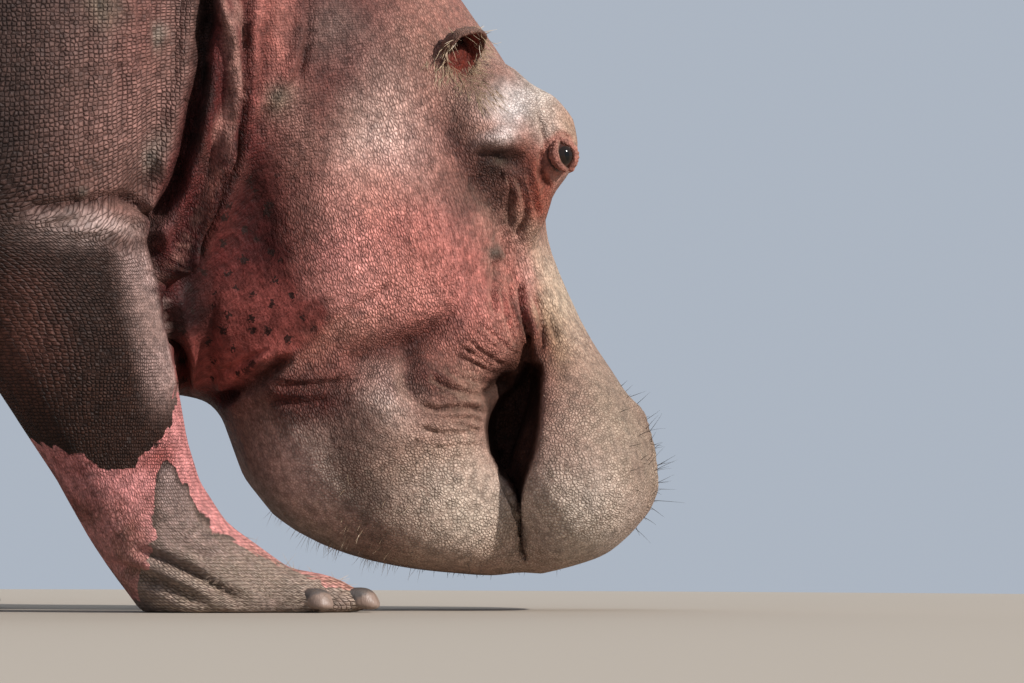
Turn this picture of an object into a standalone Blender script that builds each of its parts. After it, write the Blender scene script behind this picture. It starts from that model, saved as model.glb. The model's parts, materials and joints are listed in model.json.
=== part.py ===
"""A common hippopotamus, life size, walking with its head lowered to the ground.

x runs forwards, y to the animal's left and z up from the ground. The body is lofted from a few
measured sections, filled out with muscle masses and welded into one skin. Thin cuts then part it
into the parts that a person would name. The eyes, ears, nails and tail are pieces of their own.
"""

import math

import bmesh
import bpy
from mathutils import Matrix, Vector

# ---- how fine the shapes are ----
RING_POINTS = 36
STEPS_BETWEEN_STATIONS = 5
WELD_VOXEL = 0.0095
SKIN_TRIANGLES = 5400
EAR_TRIANGLES = 220
TAIL_TRIANGLES = 180
DETAIL_CARE = 0.04
BLEND_STRENGTH, BLEND_PASSES = 0.6, 55
ROUND_STRENGTH, ROUND_PASSES = 0.5, 12
BALL_SEGMENTS, SMALL_BALL_SEGMENTS, EYE_SEGMENTS, NAIL_SEGMENTS = 24, 20, 12, 8
TOUCH_GAP = 0.0004
SEAT_GAP = 0.0008

# ---- how far from the animal's middle plane the cuts reach, in metres ----
ZONE_INSIDE, ZONE_OUTSIDE = 0.125, 0.700

# ---- driving sizes of the animal, in metres, with x measured from the front of the chest ----
HEAD_PITCH = math.radians(74)
EYE_LEVEL = Vector((0.743, 0.0, 0.600))
EYE_RADIUS = 0.0200
EYE_OUT = 0.147
EYE_SUNK = 0.004
MOUTH_CORNER_OUT = 0.105
FORE_TRACK = 0.245
HIND_TRACK = 0.250
TOE_LENGTH = 0.062
TOE_HALF_WIDTH = 0.034
TOE_HEIGHT = 0.030
TOE_SETBACK = 0.012
TOE_DIP = 17
NAIL_HALF_SIZES = (0.013, 0.0210, 0.0160)
NAIL_LEVEL = 0.0180
NAIL_TILT = -24
EAR_LENGTH = 0.088
EAR_HALF_WIDTH = 0.034
EAR_HALF_DEPTH = 0.024
TAIL_HALF_WIDTH = 0.040
HEAD_START, HEAD_FIRM_WITHIN = 0.30, 0.20
FOOT_HEIGHT = 0.20

RIGHT, LEFT = -1, 1
SIDES = (("right", RIGHT), ("left", LEFT))

# ---- colours ----
SKIN_BROWN = (0.155, 0.092, 0.076)
SKIN_PINK = (0.300, 0.130, 0.105)
SKIN_TAN = (0.340, 0.235, 0.190)
EAR_RED = (0.180, 0.070, 0.050)
EYE_BROWN = (0.022, 0.012, 0.009)
NAIL_HORN = (0.380, 0.290, 0.240)


# ---------------------------------------------------------------- making and joining meshes


def clear_scene():
    for thing in list(bpy.data.objects):
        bpy.data.objects.remove(thing)


def material(name, colour, roughness):
    made = bpy.data.materials.new(name)
    made.use_nodes = True
    shader = made.node_tree.nodes["Principled BSDF"]
    shader.inputs["Base Color"].default_value = (*colour, 1)
    shader.inputs["Roughness"].default_value = roughness
    shader.inputs["Metallic"].default_value = 0
    made.diffuse_color = (*colour, 1)
    return made


def add_object(name, shape):
    mesh = bpy.data.meshes.new(name)
    shape.to_mesh(mesh)
    shape.free()
    thing = bpy.data.objects.new(name, mesh)
    bpy.context.scene.collection.objects.link(thing)
    return thing


def as_shape(thing):
    shape = bmesh.new()
    shape.from_mesh(thing.data)
    return shape


def turned(turn):
    """A turn by degrees about x, then y, then z."""
    roll, pitch, yaw = (math.radians(degrees) for degrees in turn)
    return (Matrix.Rotation(yaw, 4, "Z") @ Matrix.Rotation(pitch, 4, "Y")
            @ Matrix.Rotation(roll, 4, "X"))


def flow(stations):
    """The stations with smooth in-between ones: a Catmull-Rom curve through each column."""
    ends = [stations[0], *stations, stations[-1]]
    made = []
    for four in zip(ends, ends[1:], ends[2:], ends[3:]):
        for step in range(STEPS_BETWEEN_STATIONS):
            t = step / STEPS_BETWEEN_STATIONS
            made.append([
                0.5 * (2 * q + (r - p) * t + (2 * p - 5 * q + 4 * r - s) * t * t
                       + (3 * q - p - 3 * r + s) * t ** 3)
                for p, q, r, s in zip(*four)
            ])
    made.append(list(stations[-1]))
    return made


def oval(half_width, up, down, squareness):
    """A closed section, as (across, up) points, with a height of its own above and below."""
    points = []
    for k in range(RING_POINTS):
        turn = 2 * math.pi * k / RING_POINTS
        c, s = math.cos(turn), math.sin(turn)
        across = math.copysign(abs(c) ** (2 / squareness), c) * half_width
        rise = math.copysign(abs(s) ** (2 / squareness), s) * (up if s > 0 else down)
        points.append((across, rise))
    return points


def lofted(name, rings):
    """One closed body through rings that all have as many points."""
    shape = bmesh.new()
    rows = [[shape.verts.new(point) for point in ring] for ring in rings]
    for row, following in zip(rows, rows[1:]):
        for k in range(len(row)):
            after = (k + 1) % len(row)
            shape.faces.new((row[k], row[after], following[after], following[k]))
    shape.faces.new(list(reversed(rows[0])))
    shape.faces.new(rows[-1])
    bmesh.ops.recalc_face_normals(shape, faces=shape.faces)
    return add_object(name, shape)


def barrel(name, stations, squareness=2.2):
    """A body lofted forwards from stations (x, z, lean, up, down, half width).

    A section's top leans forwards by lean degrees. Its heights up and down follow that lean.
    """
    rings = []
    for x, z, lean, up, down, half_width in flow(stations):
        rise = Vector((math.sin(math.radians(lean)), 0, math.cos(math.radians(lean))))
        rings.append([Vector((x, across, z)) + rise * height
                      for across, height in oval(half_width, up, down, squareness)])
    return lofted(name, rings)


def column(name, side, stations, squareness=2.3):
    """A body lofted upright from level stations (z, back x, front x, half width, side y)."""
    rings = []
    for z, back, front, half_width, out in flow(stations):
        middle, reach = (back + front) / 2, (front - back) / 2
        rings.append([Vector((middle + along, side * out + across, z))
                      for across, along in oval(half_width, reach, reach, squareness)])
    return lofted(name, rings)


def mass(name, centre, half_sizes, turn=(0, 0, 0), fineness=BALL_SEGMENTS):
    """A muscle or bone mass: a stretched ball, turned by degrees about x, y and z."""
    shape = bmesh.new()
    bmesh.ops.create_uvsphere(shape, u_segments=fineness, v_segments=fineness * 2 // 3, radius=1)
    place = Matrix.Translation(centre) @ turned(turn) @ Matrix.Diagonal((*half_sizes, 1))
    bmesh.ops.transform(shape, matrix=place, verts=shape.verts)
    return add_object(name, shape)


def paired(name, centre, half_sizes, turn=(0, 0, 0)):
    """A mass on the animal's left and its mirror image on the right."""
    x, y, z = centre
    roll, pitch, yaw = turn
    return [mass(name, (x, y, z), half_sizes, turn),
            mass(name, (x, -y, z), half_sizes, (-roll, pitch, -yaw))]


def prism(name, outline, y_from, y_to):
    """A cutter: an outline of (x, z) points drawn out sideways."""
    shape = bmesh.new()
    near = [shape.verts.new((x, y_from, z)) for x, z in outline]
    far = [shape.verts.new((x, y_to, z)) for x, z in outline]
    shape.faces.new(near)
    shape.faces.new(list(reversed(far)))
    for k in range(len(near)):
        after = (k + 1) % len(near)
        shape.faces.new((near[after], near[k], far[k], far[after]))
    bmesh.ops.recalc_face_normals(shape, faces=shape.faces)
    made = add_object(name, shape)
    made.hide_render = True
    made.display_type = "WIRE"
    return made


def settle(thing):
    """Turn a thing's modifiers into its mesh."""
    bpy.context.view_layer.update()
    graph = bpy.context.evaluated_depsgraph_get()
    mesh = bpy.data.meshes.new_from_object(thing.evaluated_get(graph))
    thing.modifiers.clear()
    thing.data = mesh
    return thing


def lightened(thing, triangles):
    """The same shape in fewer triangles."""
    step = thing.modifiers.new("Lighten", "DECIMATE")
    step.ratio = triangles / sum(len(face.vertices) - 2 for face in thing.data.polygons)
    step.use_collapse_triangulate = True
    if "coarse" in thing.vertex_groups:
        step.vertex_group = "coarse"
        step.vertex_group_factor = DETAIL_CARE
    return settle(thing)


def joined(name, things):
    shape = bmesh.new()
    for thing in things:
        shape.from_mesh(thing.data)
        bpy.data.objects.remove(thing)
    return add_object(name, shape)


def copied(thing, name, grow=0.0):
    """A copy, grown outwards a little where it is to cut a neighbour clear of the first."""
    copy = add_object(name, as_shape(thing))
    copy.hide_render = True
    copy.display_type = "WIRE"
    if grow:
        step = copy.modifiers.new("Grow", "DISPLACE")
        step.strength = grow
        step.mid_level = 0
        settle(copy)
    return copy


def islands_of(shape):
    """The points of each closed body in a mesh."""
    waiting = set(shape.verts)
    islands = []
    while waiting:
        island = {waiting.pop()}
        front = list(island)
        while front:
            near = front.pop()
            for link in near.link_edges:
                other = link.other_vert(near)
                if other in waiting:
                    waiting.remove(other)
                    island.add(other)
                    front.append(other)
        islands.append(island)
    return islands


def carved(thing, cutter, operation="DIFFERENCE"):
    """Cut with a Boolean, then keep the largest closed body that is left."""
    step = thing.modifiers.new("Carve", "BOOLEAN")
    step.operation = operation
    step.solver = "EXACT"
    step.object = cutter
    settle(thing)
    bpy.data.objects.remove(cutter)
    shape = as_shape(thing)
    bmesh.ops.remove_doubles(shape, verts=shape.verts, dist=0.00001)
    for island in sorted(islands_of(shape), key=len)[:-1]:
        bmesh.ops.delete(shape, geom=list(island), context="VERTS")
    bmesh.ops.triangulate(shape, faces=shape.faces)
    shape.to_mesh(thing.data)
    shape.free()
    return thing


def part_off(body, name, zone):
    """Part the body along a zone's walls. What is in the zone is a piece with its own name."""
    piece = copied(body, name)
    piece.hide_render = False
    piece.display_type = "TEXTURED"
    carved(body, copied(zone, "gap", grow=2 * TOUCH_GAP))
    return carved(piece, zone, "INTERSECT")


def seated(thing, carrier, outwards):
    """Fit a thing to the surface that carries it, and lift it off by a thin gap."""
    carved(thing, copied(carrier, "seat"))
    thing.data.transform(Matrix.Translation(Vector(outwards).normalized() * SEAT_GAP))
    return thing


# ---------------------------------------------------------------- head
# The head's own frame has its origin midway between the eyes, x towards the nose and z towards
# the forehead. HEAD_PLACE tips it nose down and lifts it to eye level.

HEAD_PLACE = Matrix.Translation(EYE_LEVEL) @ Matrix.Rotation(HEAD_PITCH, 4, "Y")


def on_head(things):
    for thing in things:
        thing.data.transform(HEAD_PLACE)
    return things


def along_head(name, stations, squareness):
    """A loft towards the nose from stations (x, top, bottom, widest level, half width)."""
    return barrel(name, [(x, wide, 0, top - wide, wide - bottom, half_width)
                         for x, top, bottom, wide, half_width in stations], squareness)


def head_masses():
    cranium = along_head("cranium", [
        (-0.32, -0.115, -0.450, -0.270, 0.205),
        (-0.20, -0.060, -0.500, -0.280, 0.218),
        (-0.10, -0.028, -0.520, -0.300, 0.226),
        (-0.02, -0.020, -0.530, -0.310, 0.228),
        (0.07, -0.046, -0.530, -0.320, 0.220),
        (0.14, -0.090, -0.520, -0.330, 0.205),
        (0.20, -0.150, -0.500, -0.340, 0.180),
    ], squareness=2.1)
    upper_jaw = along_head("upper_jaw", [
        (-0.06, -0.035, -0.240, -0.130, 0.145),
        (0.04, -0.038, -0.220, -0.130, 0.140),
        (0.10, -0.050, -0.200, -0.120, 0.128),
        (0.17, -0.044, -0.165, -0.100, 0.122),
        (0.24, -0.032, -0.150, -0.090, 0.138),
        (0.30, -0.013, -0.160, -0.085, 0.170),
        (0.36, 0.002, -0.178, -0.085, 0.206),
        (0.42, 0.007, -0.190, -0.088, 0.226),
        (0.47, -0.006, -0.196, -0.098, 0.216),
        (0.502, -0.046, -0.196, -0.118, 0.182),
        (0.524, -0.092, -0.190, -0.140, 0.120),
    ], squareness=2.5)
    lower_jaw = along_head("lower_jaw", [
        (0.02, -0.240, -0.500, -0.370, 0.205),
        (0.13, -0.190, -0.520, -0.370, 0.208),
        (0.21, -0.165, -0.528, -0.355, 0.210),
        (0.29, -0.160, -0.524, -0.335, 0.214),
        (0.36, -0.165, -0.494, -0.315, 0.212),
        (0.42, -0.175, -0.430, -0.295, 0.200),
        (0.466, -0.185, -0.350, -0.262, 0.176),
        (0.498, -0.188, -0.270, -0.232, 0.132),
        (0.511, -0.196, -0.236, -0.220, 0.080),
    ], squareness=2.4)
    details = (
        paired("orbit", (-0.030, 0.112, -0.031), (0.072, 0.056, 0.062), (18, 0, 0))
        + paired("brow", (-0.084, 0.100, -0.062), (0.064, 0.056, 0.048))
        + paired("temple", (-0.030, 0.140, -0.072), (0.096, 0.048, 0.048))
        + paired("eye_bag", (0.042, 0.116, -0.064), (0.060, 0.042, 0.036), (0, 16, 0))
        + paired("cheek_bone", (-0.040, 0.168, -0.090), (0.085, 0.040, 0.034), (0, -8, 0))
        + paired("masseter", (0.030, 0.138, -0.300), (0.195, 0.104, 0.195))
        + paired("upper_lip", (0.405, 0.152, -0.108), (0.096, 0.080, 0.080))
        + paired("canine_swelling", (0.275, 0.160, -0.300), (0.105, 0.070, 0.110))
        + paired("lip_corner", (0.175, 0.120, -0.185), (0.085, 0.076, 0.074), (0, -25, 0))
        + paired("nostril_mound", (0.378, 0.070, -0.024), (0.066, 0.044, 0.036))
    )
    return on_head([cranium, upper_jaw, lower_jaw, *details])


def mouth_cutters():
    """The open corner of the mouth, where the lips part, on each side."""
    slit = [(0.155, -0.108), (0.235, -0.108), (0.290, -0.128), (0.330, -0.152), (0.368, -0.178),
            (0.430, -0.190), (0.500, -0.196), (0.545, -0.198), (0.545, -0.204), (0.500, -0.203),
            (0.430, -0.198), (0.372, -0.192), (0.330, -0.190), (0.290, -0.166), (0.235, -0.122)]
    return on_head([prism("mouth_slit", slit, side * MOUTH_CORNER_OUT, side * ZONE_OUTSIDE)
                    for _, side in SIDES])


# ---------------------------------------------------------------- neck and trunk


def neck_masses():
    neck = barrel("neck_core", [
        (-0.20, 0.86, 0, 0.520, 0.450, 0.380),
        (0.00, 0.80, 8, 0.480, 0.420, 0.330),
        (0.16, 0.72, 15, 0.418, 0.385, 0.294),
        (0.30, 0.65, 24, 0.328, 0.345, 0.268),
        (0.40, 0.62, 40, 0.285, 0.335, 0.248),
        (0.47, 0.60, 58, 0.222, 0.285, 0.215),
    ])
    roll = barrel("neck_roll", [
        (0.170, 0.66, 17, 0.330, 0.300, 0.235),
        (0.225, 0.66, 17, 0.380, 0.322, 0.290),
        (0.265, 0.66, 17, 0.380, 0.328, 0.308),
        (0.310, 0.66, 18, 0.362, 0.322, 0.296),
        (0.370, 0.66, 19, 0.300, 0.290, 0.240),
    ])
    jowl = mass("jowl", (0.245, 0, 0.445), (0.165, 0.215, 0.165), (0, -12, 0))
    return [neck, roll, jowl]


def trunk_masses():
    chest_and_belly = barrel("chest_and_belly", [
        (0.13, 0.78, 4, 0.300, 0.340, 0.240),
        (0.02, 0.80, 2, 0.480, 0.430, 0.350),
        (-0.22, 0.84, 0, 0.565, 0.455, 0.420),
        (-0.52, 0.83, 0, 0.600, 0.465, 0.480),
        (-0.86, 0.80, 0, 0.620, 0.455, 0.518),
        (-1.18, 0.80, 0, 0.635, 0.445, 0.520),
        (-1.48, 0.84, 0, 0.608, 0.425, 0.480),
        (-1.72, 0.90, 0, 0.520, 0.390, 0.400),
        (-1.88, 0.95, 0, 0.395, 0.325, 0.320),
        (-1.98, 0.97, 0, 0.250, 0.225, 0.220),
        (-2.03, 0.98, 0, 0.080, 0.075, 0.075),
    ], squareness=2.15)
    muscles = (
        paired("shoulder", (-0.010, 0.285, 0.790), (0.225, 0.130, 0.360), (6, -6, 0))
        + paired("upper_arm", (-0.055, 0.305, 0.620), (0.215, 0.125, 0.185))
        + paired("haunch", (-1.620, 0.270, 0.850), (0.285, 0.195, 0.400), (8, 8, 0))
    )
    brisket = mass("brisket", (-0.02, 0, 0.500), (0.300, 0.240, 0.150))
    rump = mass("rump", (-1.780, 0, 1.080), (0.250, 0.310, 0.265))
    return [chest_and_belly, brisket, rump, *muscles]


# ---------------------------------------------------------------- legs, toes and nails

FORE_RIGHT = [
    (0.860, -0.260, 0.100, 0.130, 0.225),
    (0.700, -0.240, 0.130, 0.135, 0.230),
    (0.560, -0.200, 0.170, 0.136, 0.238),
    (0.495, -0.155, 0.200, 0.132, 0.242),
    (0.410, -0.078, 0.222, 0.120, 0.245),
    (0.297, -0.004, 0.242, 0.106, 0.245),
    (0.220, 0.046, 0.256, 0.098, 0.245),
    (0.171, 0.079, 0.270, 0.096, 0.245),
    (0.119, 0.107, 0.304, 0.102, 0.245),
    (0.085, 0.128, 0.350, 0.108, 0.245),
    (0.055, 0.148, 0.386, 0.114, 0.245),
    (0.025, 0.172, 0.402, 0.116, 0.245),
    (0.000, 0.190, 0.404, 0.112, 0.245),
    (-0.020, 0.200, 0.385, 0.106, 0.245),
]
FORE_LEFT = [
    (0.860, -0.260, 0.100, 0.130, 0.225),
    (0.700, -0.255, 0.110, 0.135, 0.230),
    (0.560, -0.257, 0.093, 0.136, 0.238),
    (0.495, -0.261, 0.064, 0.132, 0.242),
    (0.410, -0.266, 0.004, 0.120, 0.245),
    (0.297, -0.273, -0.053, 0.106, 0.245),
    (0.220, -0.276, -0.078, 0.098, 0.245),
    (0.171, -0.280, -0.088, 0.096, 0.245),
    (0.119, -0.294, -0.084, 0.102, 0.245),
    (0.085, -0.308, -0.080, 0.108, 0.245),
    (0.055, -0.318, -0.086, 0.114, 0.245),
    (0.025, -0.322, -0.100, 0.116, 0.245),
    (0.000, -0.318, -0.108, 0.112, 0.245),
    (-0.020, -0.308, -0.114, 0.106, 0.245),
]
HIND = [
    (0.950, -1.870, -1.400, 0.150, 0.215),
    (0.750, -1.840, -1.365, 0.155, 0.225),
    (0.600, -1.800, -1.390, 0.146, 0.235),
    (0.500, -1.785, -1.440, 0.130, 0.242),
    (0.400, -1.805, -1.520, 0.112, 0.248),
    (0.320, -1.825, -1.580, 0.100, 0.250),
    (0.240, -1.810, -1.600, 0.092, 0.250),
    (0.170, -1.795, -1.590, 0.092, 0.250),
    (0.119, -1.785, -1.570, 0.098, 0.250),
    (0.085, -1.780, -1.552, 0.104, 0.250),
    (0.055, -1.775, -1.545, 0.110, 0.250),
    (0.025, -1.768, -1.548, 0.112, 0.250),
    (0.000, -1.758, -1.556, 0.108, 0.250),
    (-0.020, -1.745, -1.565, 0.102, 0.250),
]
HIP_HEIGHT = HIND[0][0]
STEP_FORWARD = 0.11
STEP_BACK = -0.13


def swung(stations, reach):
    """The leg swung from the hip, so that its sole lands further along by reach."""
    return [(z, back + reach * (1 - z / HIP_HEIGHT), front + reach * (1 - z / HIP_HEIGHT), *rest)
            for z, back, front, *rest in stations]


LEGS = (
    ("foreleg_right", RIGHT, FORE_RIGHT, FORE_TRACK),
    ("foreleg_left", LEFT, FORE_LEFT, FORE_TRACK),
    ("hindleg_right", RIGHT, swung(HIND, STEP_FORWARD), HIND_TRACK),
    ("hindleg_left", LEFT, swung(HIND, STEP_BACK), HIND_TRACK),
)
TOE_FAN = ((-37, 0.108), (-12, 0.142), (12, 0.142), (37, 0.108))


def sole_middle(side, stations, track):
    """The point of the sole that the toes spread from."""
    _, back, front, *_ = stations[-2]
    return Vector((0.45 * back + 0.55 * front, side * track, 0))


def toe_headings(side, stations, track):
    """For each toe, the middle of the toe on the ground and the way it points."""
    start = sole_middle(side, stations, track)
    for turn, reach in TOE_FAN:
        heading = Vector((math.cos(math.radians(turn)), math.sin(math.radians(turn)), 0))
        yield start + heading * reach, turn, heading


def leg_masses(name, side, stations, track):
    pieces = [column(name, side, stations)]
    for middle, turn, heading in toe_headings(side, stations, track):
        centre = middle - heading * TOE_SETBACK + Vector((0, 0, TOE_HEIGHT * 0.75))
        pieces.append(mass("toe", centre, (TOE_LENGTH, TOE_HALF_WIDTH, TOE_HEIGHT),
                           (0, TOE_DIP, turn)))
    return pieces


def nails(name, side, stations, track):
    """A blunt nail on the tip of each toe, numbered from the animal's right to its left."""
    made = []
    for number, (middle, turn, heading) in enumerate(toe_headings(side, stations, track), 1):
        tip = middle + heading * (TOE_LENGTH * 0.66) + Vector((0, 0, NAIL_LEVEL))
        nail = mass(f"{name.replace('leg', 'foot')}_nail_{number}", tip,
                    NAIL_HALF_SIZES, (0, NAIL_TILT, turn), NAIL_SEGMENTS)
        made.append(nail)
    return made


# ---------------------------------------------------------------- ears, eyes and tail


def ear(name, side):
    """A small round cup on a thick base, open to the side and a little forwards."""
    base = HEAD_PLACE @ Vector((-0.132, side * 0.144, -0.105))
    length = Vector((0.22, side * 0.52, 0.82)).normalized()
    opening = Vector((0.55, side * 0.80, -0.55))
    opening = (opening - length * opening.dot(length)).normalized()
    across = length.cross(opening)
    place = Matrix.Translation(base) @ Matrix((across, opening, length)).transposed().to_4x4()
    cup = mass(name, (0, 0.002, EAR_LENGTH * 0.58),
               (EAR_HALF_WIDTH, EAR_HALF_DEPTH, EAR_LENGTH * 0.44), fineness=SMALL_BALL_SEGMENTS)
    base_knob = mass("ear_base", (0, -0.004, EAR_LENGTH * 0.16),
                     (EAR_HALF_WIDTH * 0.76, EAR_HALF_DEPTH, EAR_LENGTH * 0.39),
                     fineness=SMALL_BALL_SEGMENTS)
    hollow = mass("ear_hollow", (0, EAR_HALF_DEPTH * 1.08, EAR_LENGTH * 0.60),
                  (EAR_HALF_WIDTH * 0.78, EAR_HALF_DEPTH * 1.42, EAR_LENGTH * 0.35),
                  fineness=SMALL_BALL_SEGMENTS)
    cup = carved(cup, base_knob, "UNION")
    cup = lightened(carved(cup, hollow), EAR_TRIANGLES)
    cup.data.transform(place)
    return cup


def eye(name, side):
    """An eyeball that looks sideways from high on the head."""
    ball = mass(name, (0, side * EYE_OUT, -EYE_SUNK), [EYE_RADIUS] * 3, fineness=EYE_SEGMENTS)
    return on_head([ball])[0]


def tail():
    """A short tail, flat at its tip, that hangs from the rump."""
    hanging = column("tail", LEFT, [
        (1.100, -2.020, -1.900, TAIL_HALF_WIDTH, 0),
        (1.020, -2.080, -1.960, TAIL_HALF_WIDTH * 1.05, 0),
        (0.930, -2.100, -2.020, TAIL_HALF_WIDTH * 0.95, 0),
        (0.830, -2.102, -2.044, TAIL_HALF_WIDTH * 0.80, 0),
        (0.730, -2.098, -2.054, TAIL_HALF_WIDTH * 0.64, 0),
        (0.650, -2.092, -2.060, TAIL_HALF_WIDTH * 0.46, 0),
        (0.610, -2.086, -2.066, TAIL_HALF_WIDTH * 0.26, 0),
    ])
    return lightened(hanging, TAIL_TRIANGLES)


# ---------------------------------------------------------------- the welded body


def welded_body():
    pieces = head_masses() + neck_masses() + trunk_masses()
    for name, side, stations, track in LEGS:
        pieces += leg_masses(name, side, stations, track)
    body = joined("trunk", pieces)
    step = body.modifiers.new("Weld", "REMESH")
    step.mode = "VOXEL"
    step.voxel_size = WELD_VOXEL
    settle(body)
    soft = body.vertex_groups.new(name="soft")
    coarse = body.vertex_groups.new(name="coarse")
    for vertex in body.data.vertices:
        held = firmness(vertex.co)
        soft.add([vertex.index], 1 - 0.9 * held, "REPLACE")
        coarse.add([vertex.index], 1 - 0.8 * held, "REPLACE")
    step = body.modifiers.new("Blend", "SMOOTH")
    step.factor = BLEND_STRENGTH
    step.iterations = BLEND_PASSES
    step.vertex_group = "soft"
    step = body.modifiers.new("Round", "SMOOTH")
    step.factor = ROUND_STRENGTH
    step.iterations = ROUND_PASSES
    settle(body)
    return lightened(body, SKIN_TRIANGLES)


def firmness(point):
    """How well the smoothing keeps a place: 0 on the trunk, up to 1 on the head and the feet."""
    on_foot = max(0.0, 1 - point.z / FOOT_HEIGHT)
    on_head_end = min(1.0, max(0.0, (point.x - HEAD_START) / HEAD_FIRM_WITHIN))
    return min(1.0, max(on_foot, on_head_end))


# ---------------------------------------------------------------- parting the body


LEG_ZONES = {
    "foreleg_right": [(-0.180, -0.05), (0.530, -0.05), (0.530, 0.045), (0.405, 0.074),
                      (0.345, 0.120), (0.300, 0.200), (0.268, 0.300), (0.262, 0.450),
                      (-0.040, 0.540), (-0.180, 0.520)],
    "foreleg_left": [(-0.360, -0.05), (0.060, -0.05), (0.060, 0.300), (0.130, 0.420),
                     (0.130, 0.500), (-0.060, 0.540), (-0.260, 0.520), (-0.300, 0.360),
                     (-0.360, 0.200)],
    "hindleg_right": [(-1.840, -0.05), (-1.320, -0.05), (-1.320, 0.480), (-1.440, 0.560),
                      (-1.840, 0.560)],
    "hindleg_left": [(-2.060, -0.05), (-1.480, -0.05), (-1.400, 0.480), (-1.480, 0.560),
                     (-1.900, 0.560), (-2.060, 0.300)],
}
HEAD_ZONE = [(0.258, 0.130), (0.626, 1.050), (1.200, 1.050), (1.200, -0.05), (0.258, -0.05)]
NECK_ZONE = [(0.086, 0.130), (0.400, 1.160), (0.800, 1.160), (0.800, 0.130)]
GROUND = [(-3, -0.2), (2, -0.2), (2, 0), (-3, 0)]


def finish(thing, look):
    thing.data.materials.clear()
    thing.data.materials.append(look)
    thing.data.shade_smooth()


def hippopotamus():
    body = welded_body()
    body = carved(body, prism("ground", GROUND, -ZONE_OUTSIDE, ZONE_OUTSIDE))
    for cutter in mouth_cutters():
        body = carved(body, cutter)
    eyes = [eye(f"eye_{word}", side) for word, side in SIDES]
    all_nails = [nail for leg in LEGS for nail in nails(*leg)]
    for piece in eyes + all_nails:
        body = carved(body, copied(piece, "clearance", grow=TOUCH_GAP))
    flesh = []
    for name, outline in LEG_ZONES.items():
        side = RIGHT if name.endswith("right") else LEFT
        zone = prism("zone", outline, side * ZONE_INSIDE, side * ZONE_OUTSIDE)
        flesh.append(part_off(body, name, zone))
    head = part_off(body, "head", prism("zone", HEAD_ZONE, -ZONE_OUTSIDE, ZONE_OUTSIDE))
    ears = [seated(ear(f"ear_{word}", side), head, (0, side, 0.4)) for word, side in SIDES]
    neck = part_off(body, "neck", prism("zone", NECK_ZONE, -ZONE_OUTSIDE, ZONE_OUTSIDE))
    hanging_tail = seated(tail(), body, (-1, 0, 0))
    return {
        "brown": [body, hanging_tail, *flesh],
        "pink": [neck],
        "tan": [head],
        "ear": ears,
        "eye": eyes,
        "nail": all_nails,
    }


def stand_at_middle(things):
    """Stand the animal with the middle of its length and width over the origin."""
    xs = [corner[0] for thing in things for corner in thing.bound_box]
    middle = bpy.data.objects.new("middle_of_stance", None)
    bpy.context.scene.collection.objects.link(middle)
    middle.location.x = -(min(xs) + max(xs)) / 2
    for thing in things:
        thing.parent = middle


clear_scene()
looks = {
    "brown": material("brown_skin", SKIN_BROWN, 0.75),
    "pink": material("pink_skin", SKIN_PINK, 0.65),
    "tan": material("dusty_skin", SKIN_TAN, 0.80),
    "ear": material("ear_skin", EAR_RED, 0.65),
    "eye": material("wet_eye", EYE_BROWN, 0.10),
    "nail": material("nail_horn", NAIL_HORN, 0.55),
}
animal = hippopotamus()
for look, things in animal.items():
    for thing in things:
        finish(thing, looks[look])
stand_at_middle([thing for things in animal.values() for thing in things])
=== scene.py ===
"""The looks of a life-size hippopotamus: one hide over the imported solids, its eyes, nails and bristles."""

import json
import math

import bmesh
import bpy
import numpy as np
from mathutils import Matrix, Vector
from mathutils.bvhtree import BVHTree

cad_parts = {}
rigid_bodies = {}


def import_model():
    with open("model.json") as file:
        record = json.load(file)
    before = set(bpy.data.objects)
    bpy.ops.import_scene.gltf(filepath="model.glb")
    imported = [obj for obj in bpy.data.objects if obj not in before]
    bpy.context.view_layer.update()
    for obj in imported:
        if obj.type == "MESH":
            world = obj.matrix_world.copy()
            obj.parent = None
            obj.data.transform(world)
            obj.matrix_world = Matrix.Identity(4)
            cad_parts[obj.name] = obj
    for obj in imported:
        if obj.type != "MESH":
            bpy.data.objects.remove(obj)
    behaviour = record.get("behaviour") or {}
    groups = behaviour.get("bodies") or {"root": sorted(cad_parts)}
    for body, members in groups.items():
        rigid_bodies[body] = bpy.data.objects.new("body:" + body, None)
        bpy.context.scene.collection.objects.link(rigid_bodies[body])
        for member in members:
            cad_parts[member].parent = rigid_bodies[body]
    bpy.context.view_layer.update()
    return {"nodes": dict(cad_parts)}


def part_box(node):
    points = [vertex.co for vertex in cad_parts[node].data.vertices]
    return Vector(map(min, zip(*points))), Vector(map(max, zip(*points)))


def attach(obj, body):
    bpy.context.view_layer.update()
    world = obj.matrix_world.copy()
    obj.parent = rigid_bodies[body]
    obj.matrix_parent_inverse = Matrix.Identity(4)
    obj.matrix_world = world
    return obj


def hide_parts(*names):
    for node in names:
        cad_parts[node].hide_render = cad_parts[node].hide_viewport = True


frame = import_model()

# ---- The hide, drawn over the flesh ---------------------------------------------------------------
# The bare skin of the whole animal in one piece, from the muzzle to the tip of the tail.
# It is drawn over copies of the flesh, eyes and nails, welded, and eased until no facet or seam shows.

FLESH = ("trunk", "neck", "head", "tail", "foreleg_right", "foreleg_left", "hindleg_right", "hindleg_left")
EARS = ("ear_right", "ear_left")
UNDER_THE_HIDE = [name for name in frame["nodes"] if name not in EARS]
SAME_PLACE = 0.00002
WELD_SIZE = 0.0060
BODY_EASE, BODY_PASSES = 0.5, 110
HEAD_EASE, HEAD_PASSES = 0.5, 12
BODY_LOST_TO_EASING = 0.0020


def in_scene(name, data):
    """A new object of that name, in the scene."""
    made = bpy.data.objects.new(name, data)
    bpy.context.scene.collection.objects.link(made)
    return made


def nothing_selected():
    bpy.ops.object.select_all(action="DESELECT")


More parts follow.
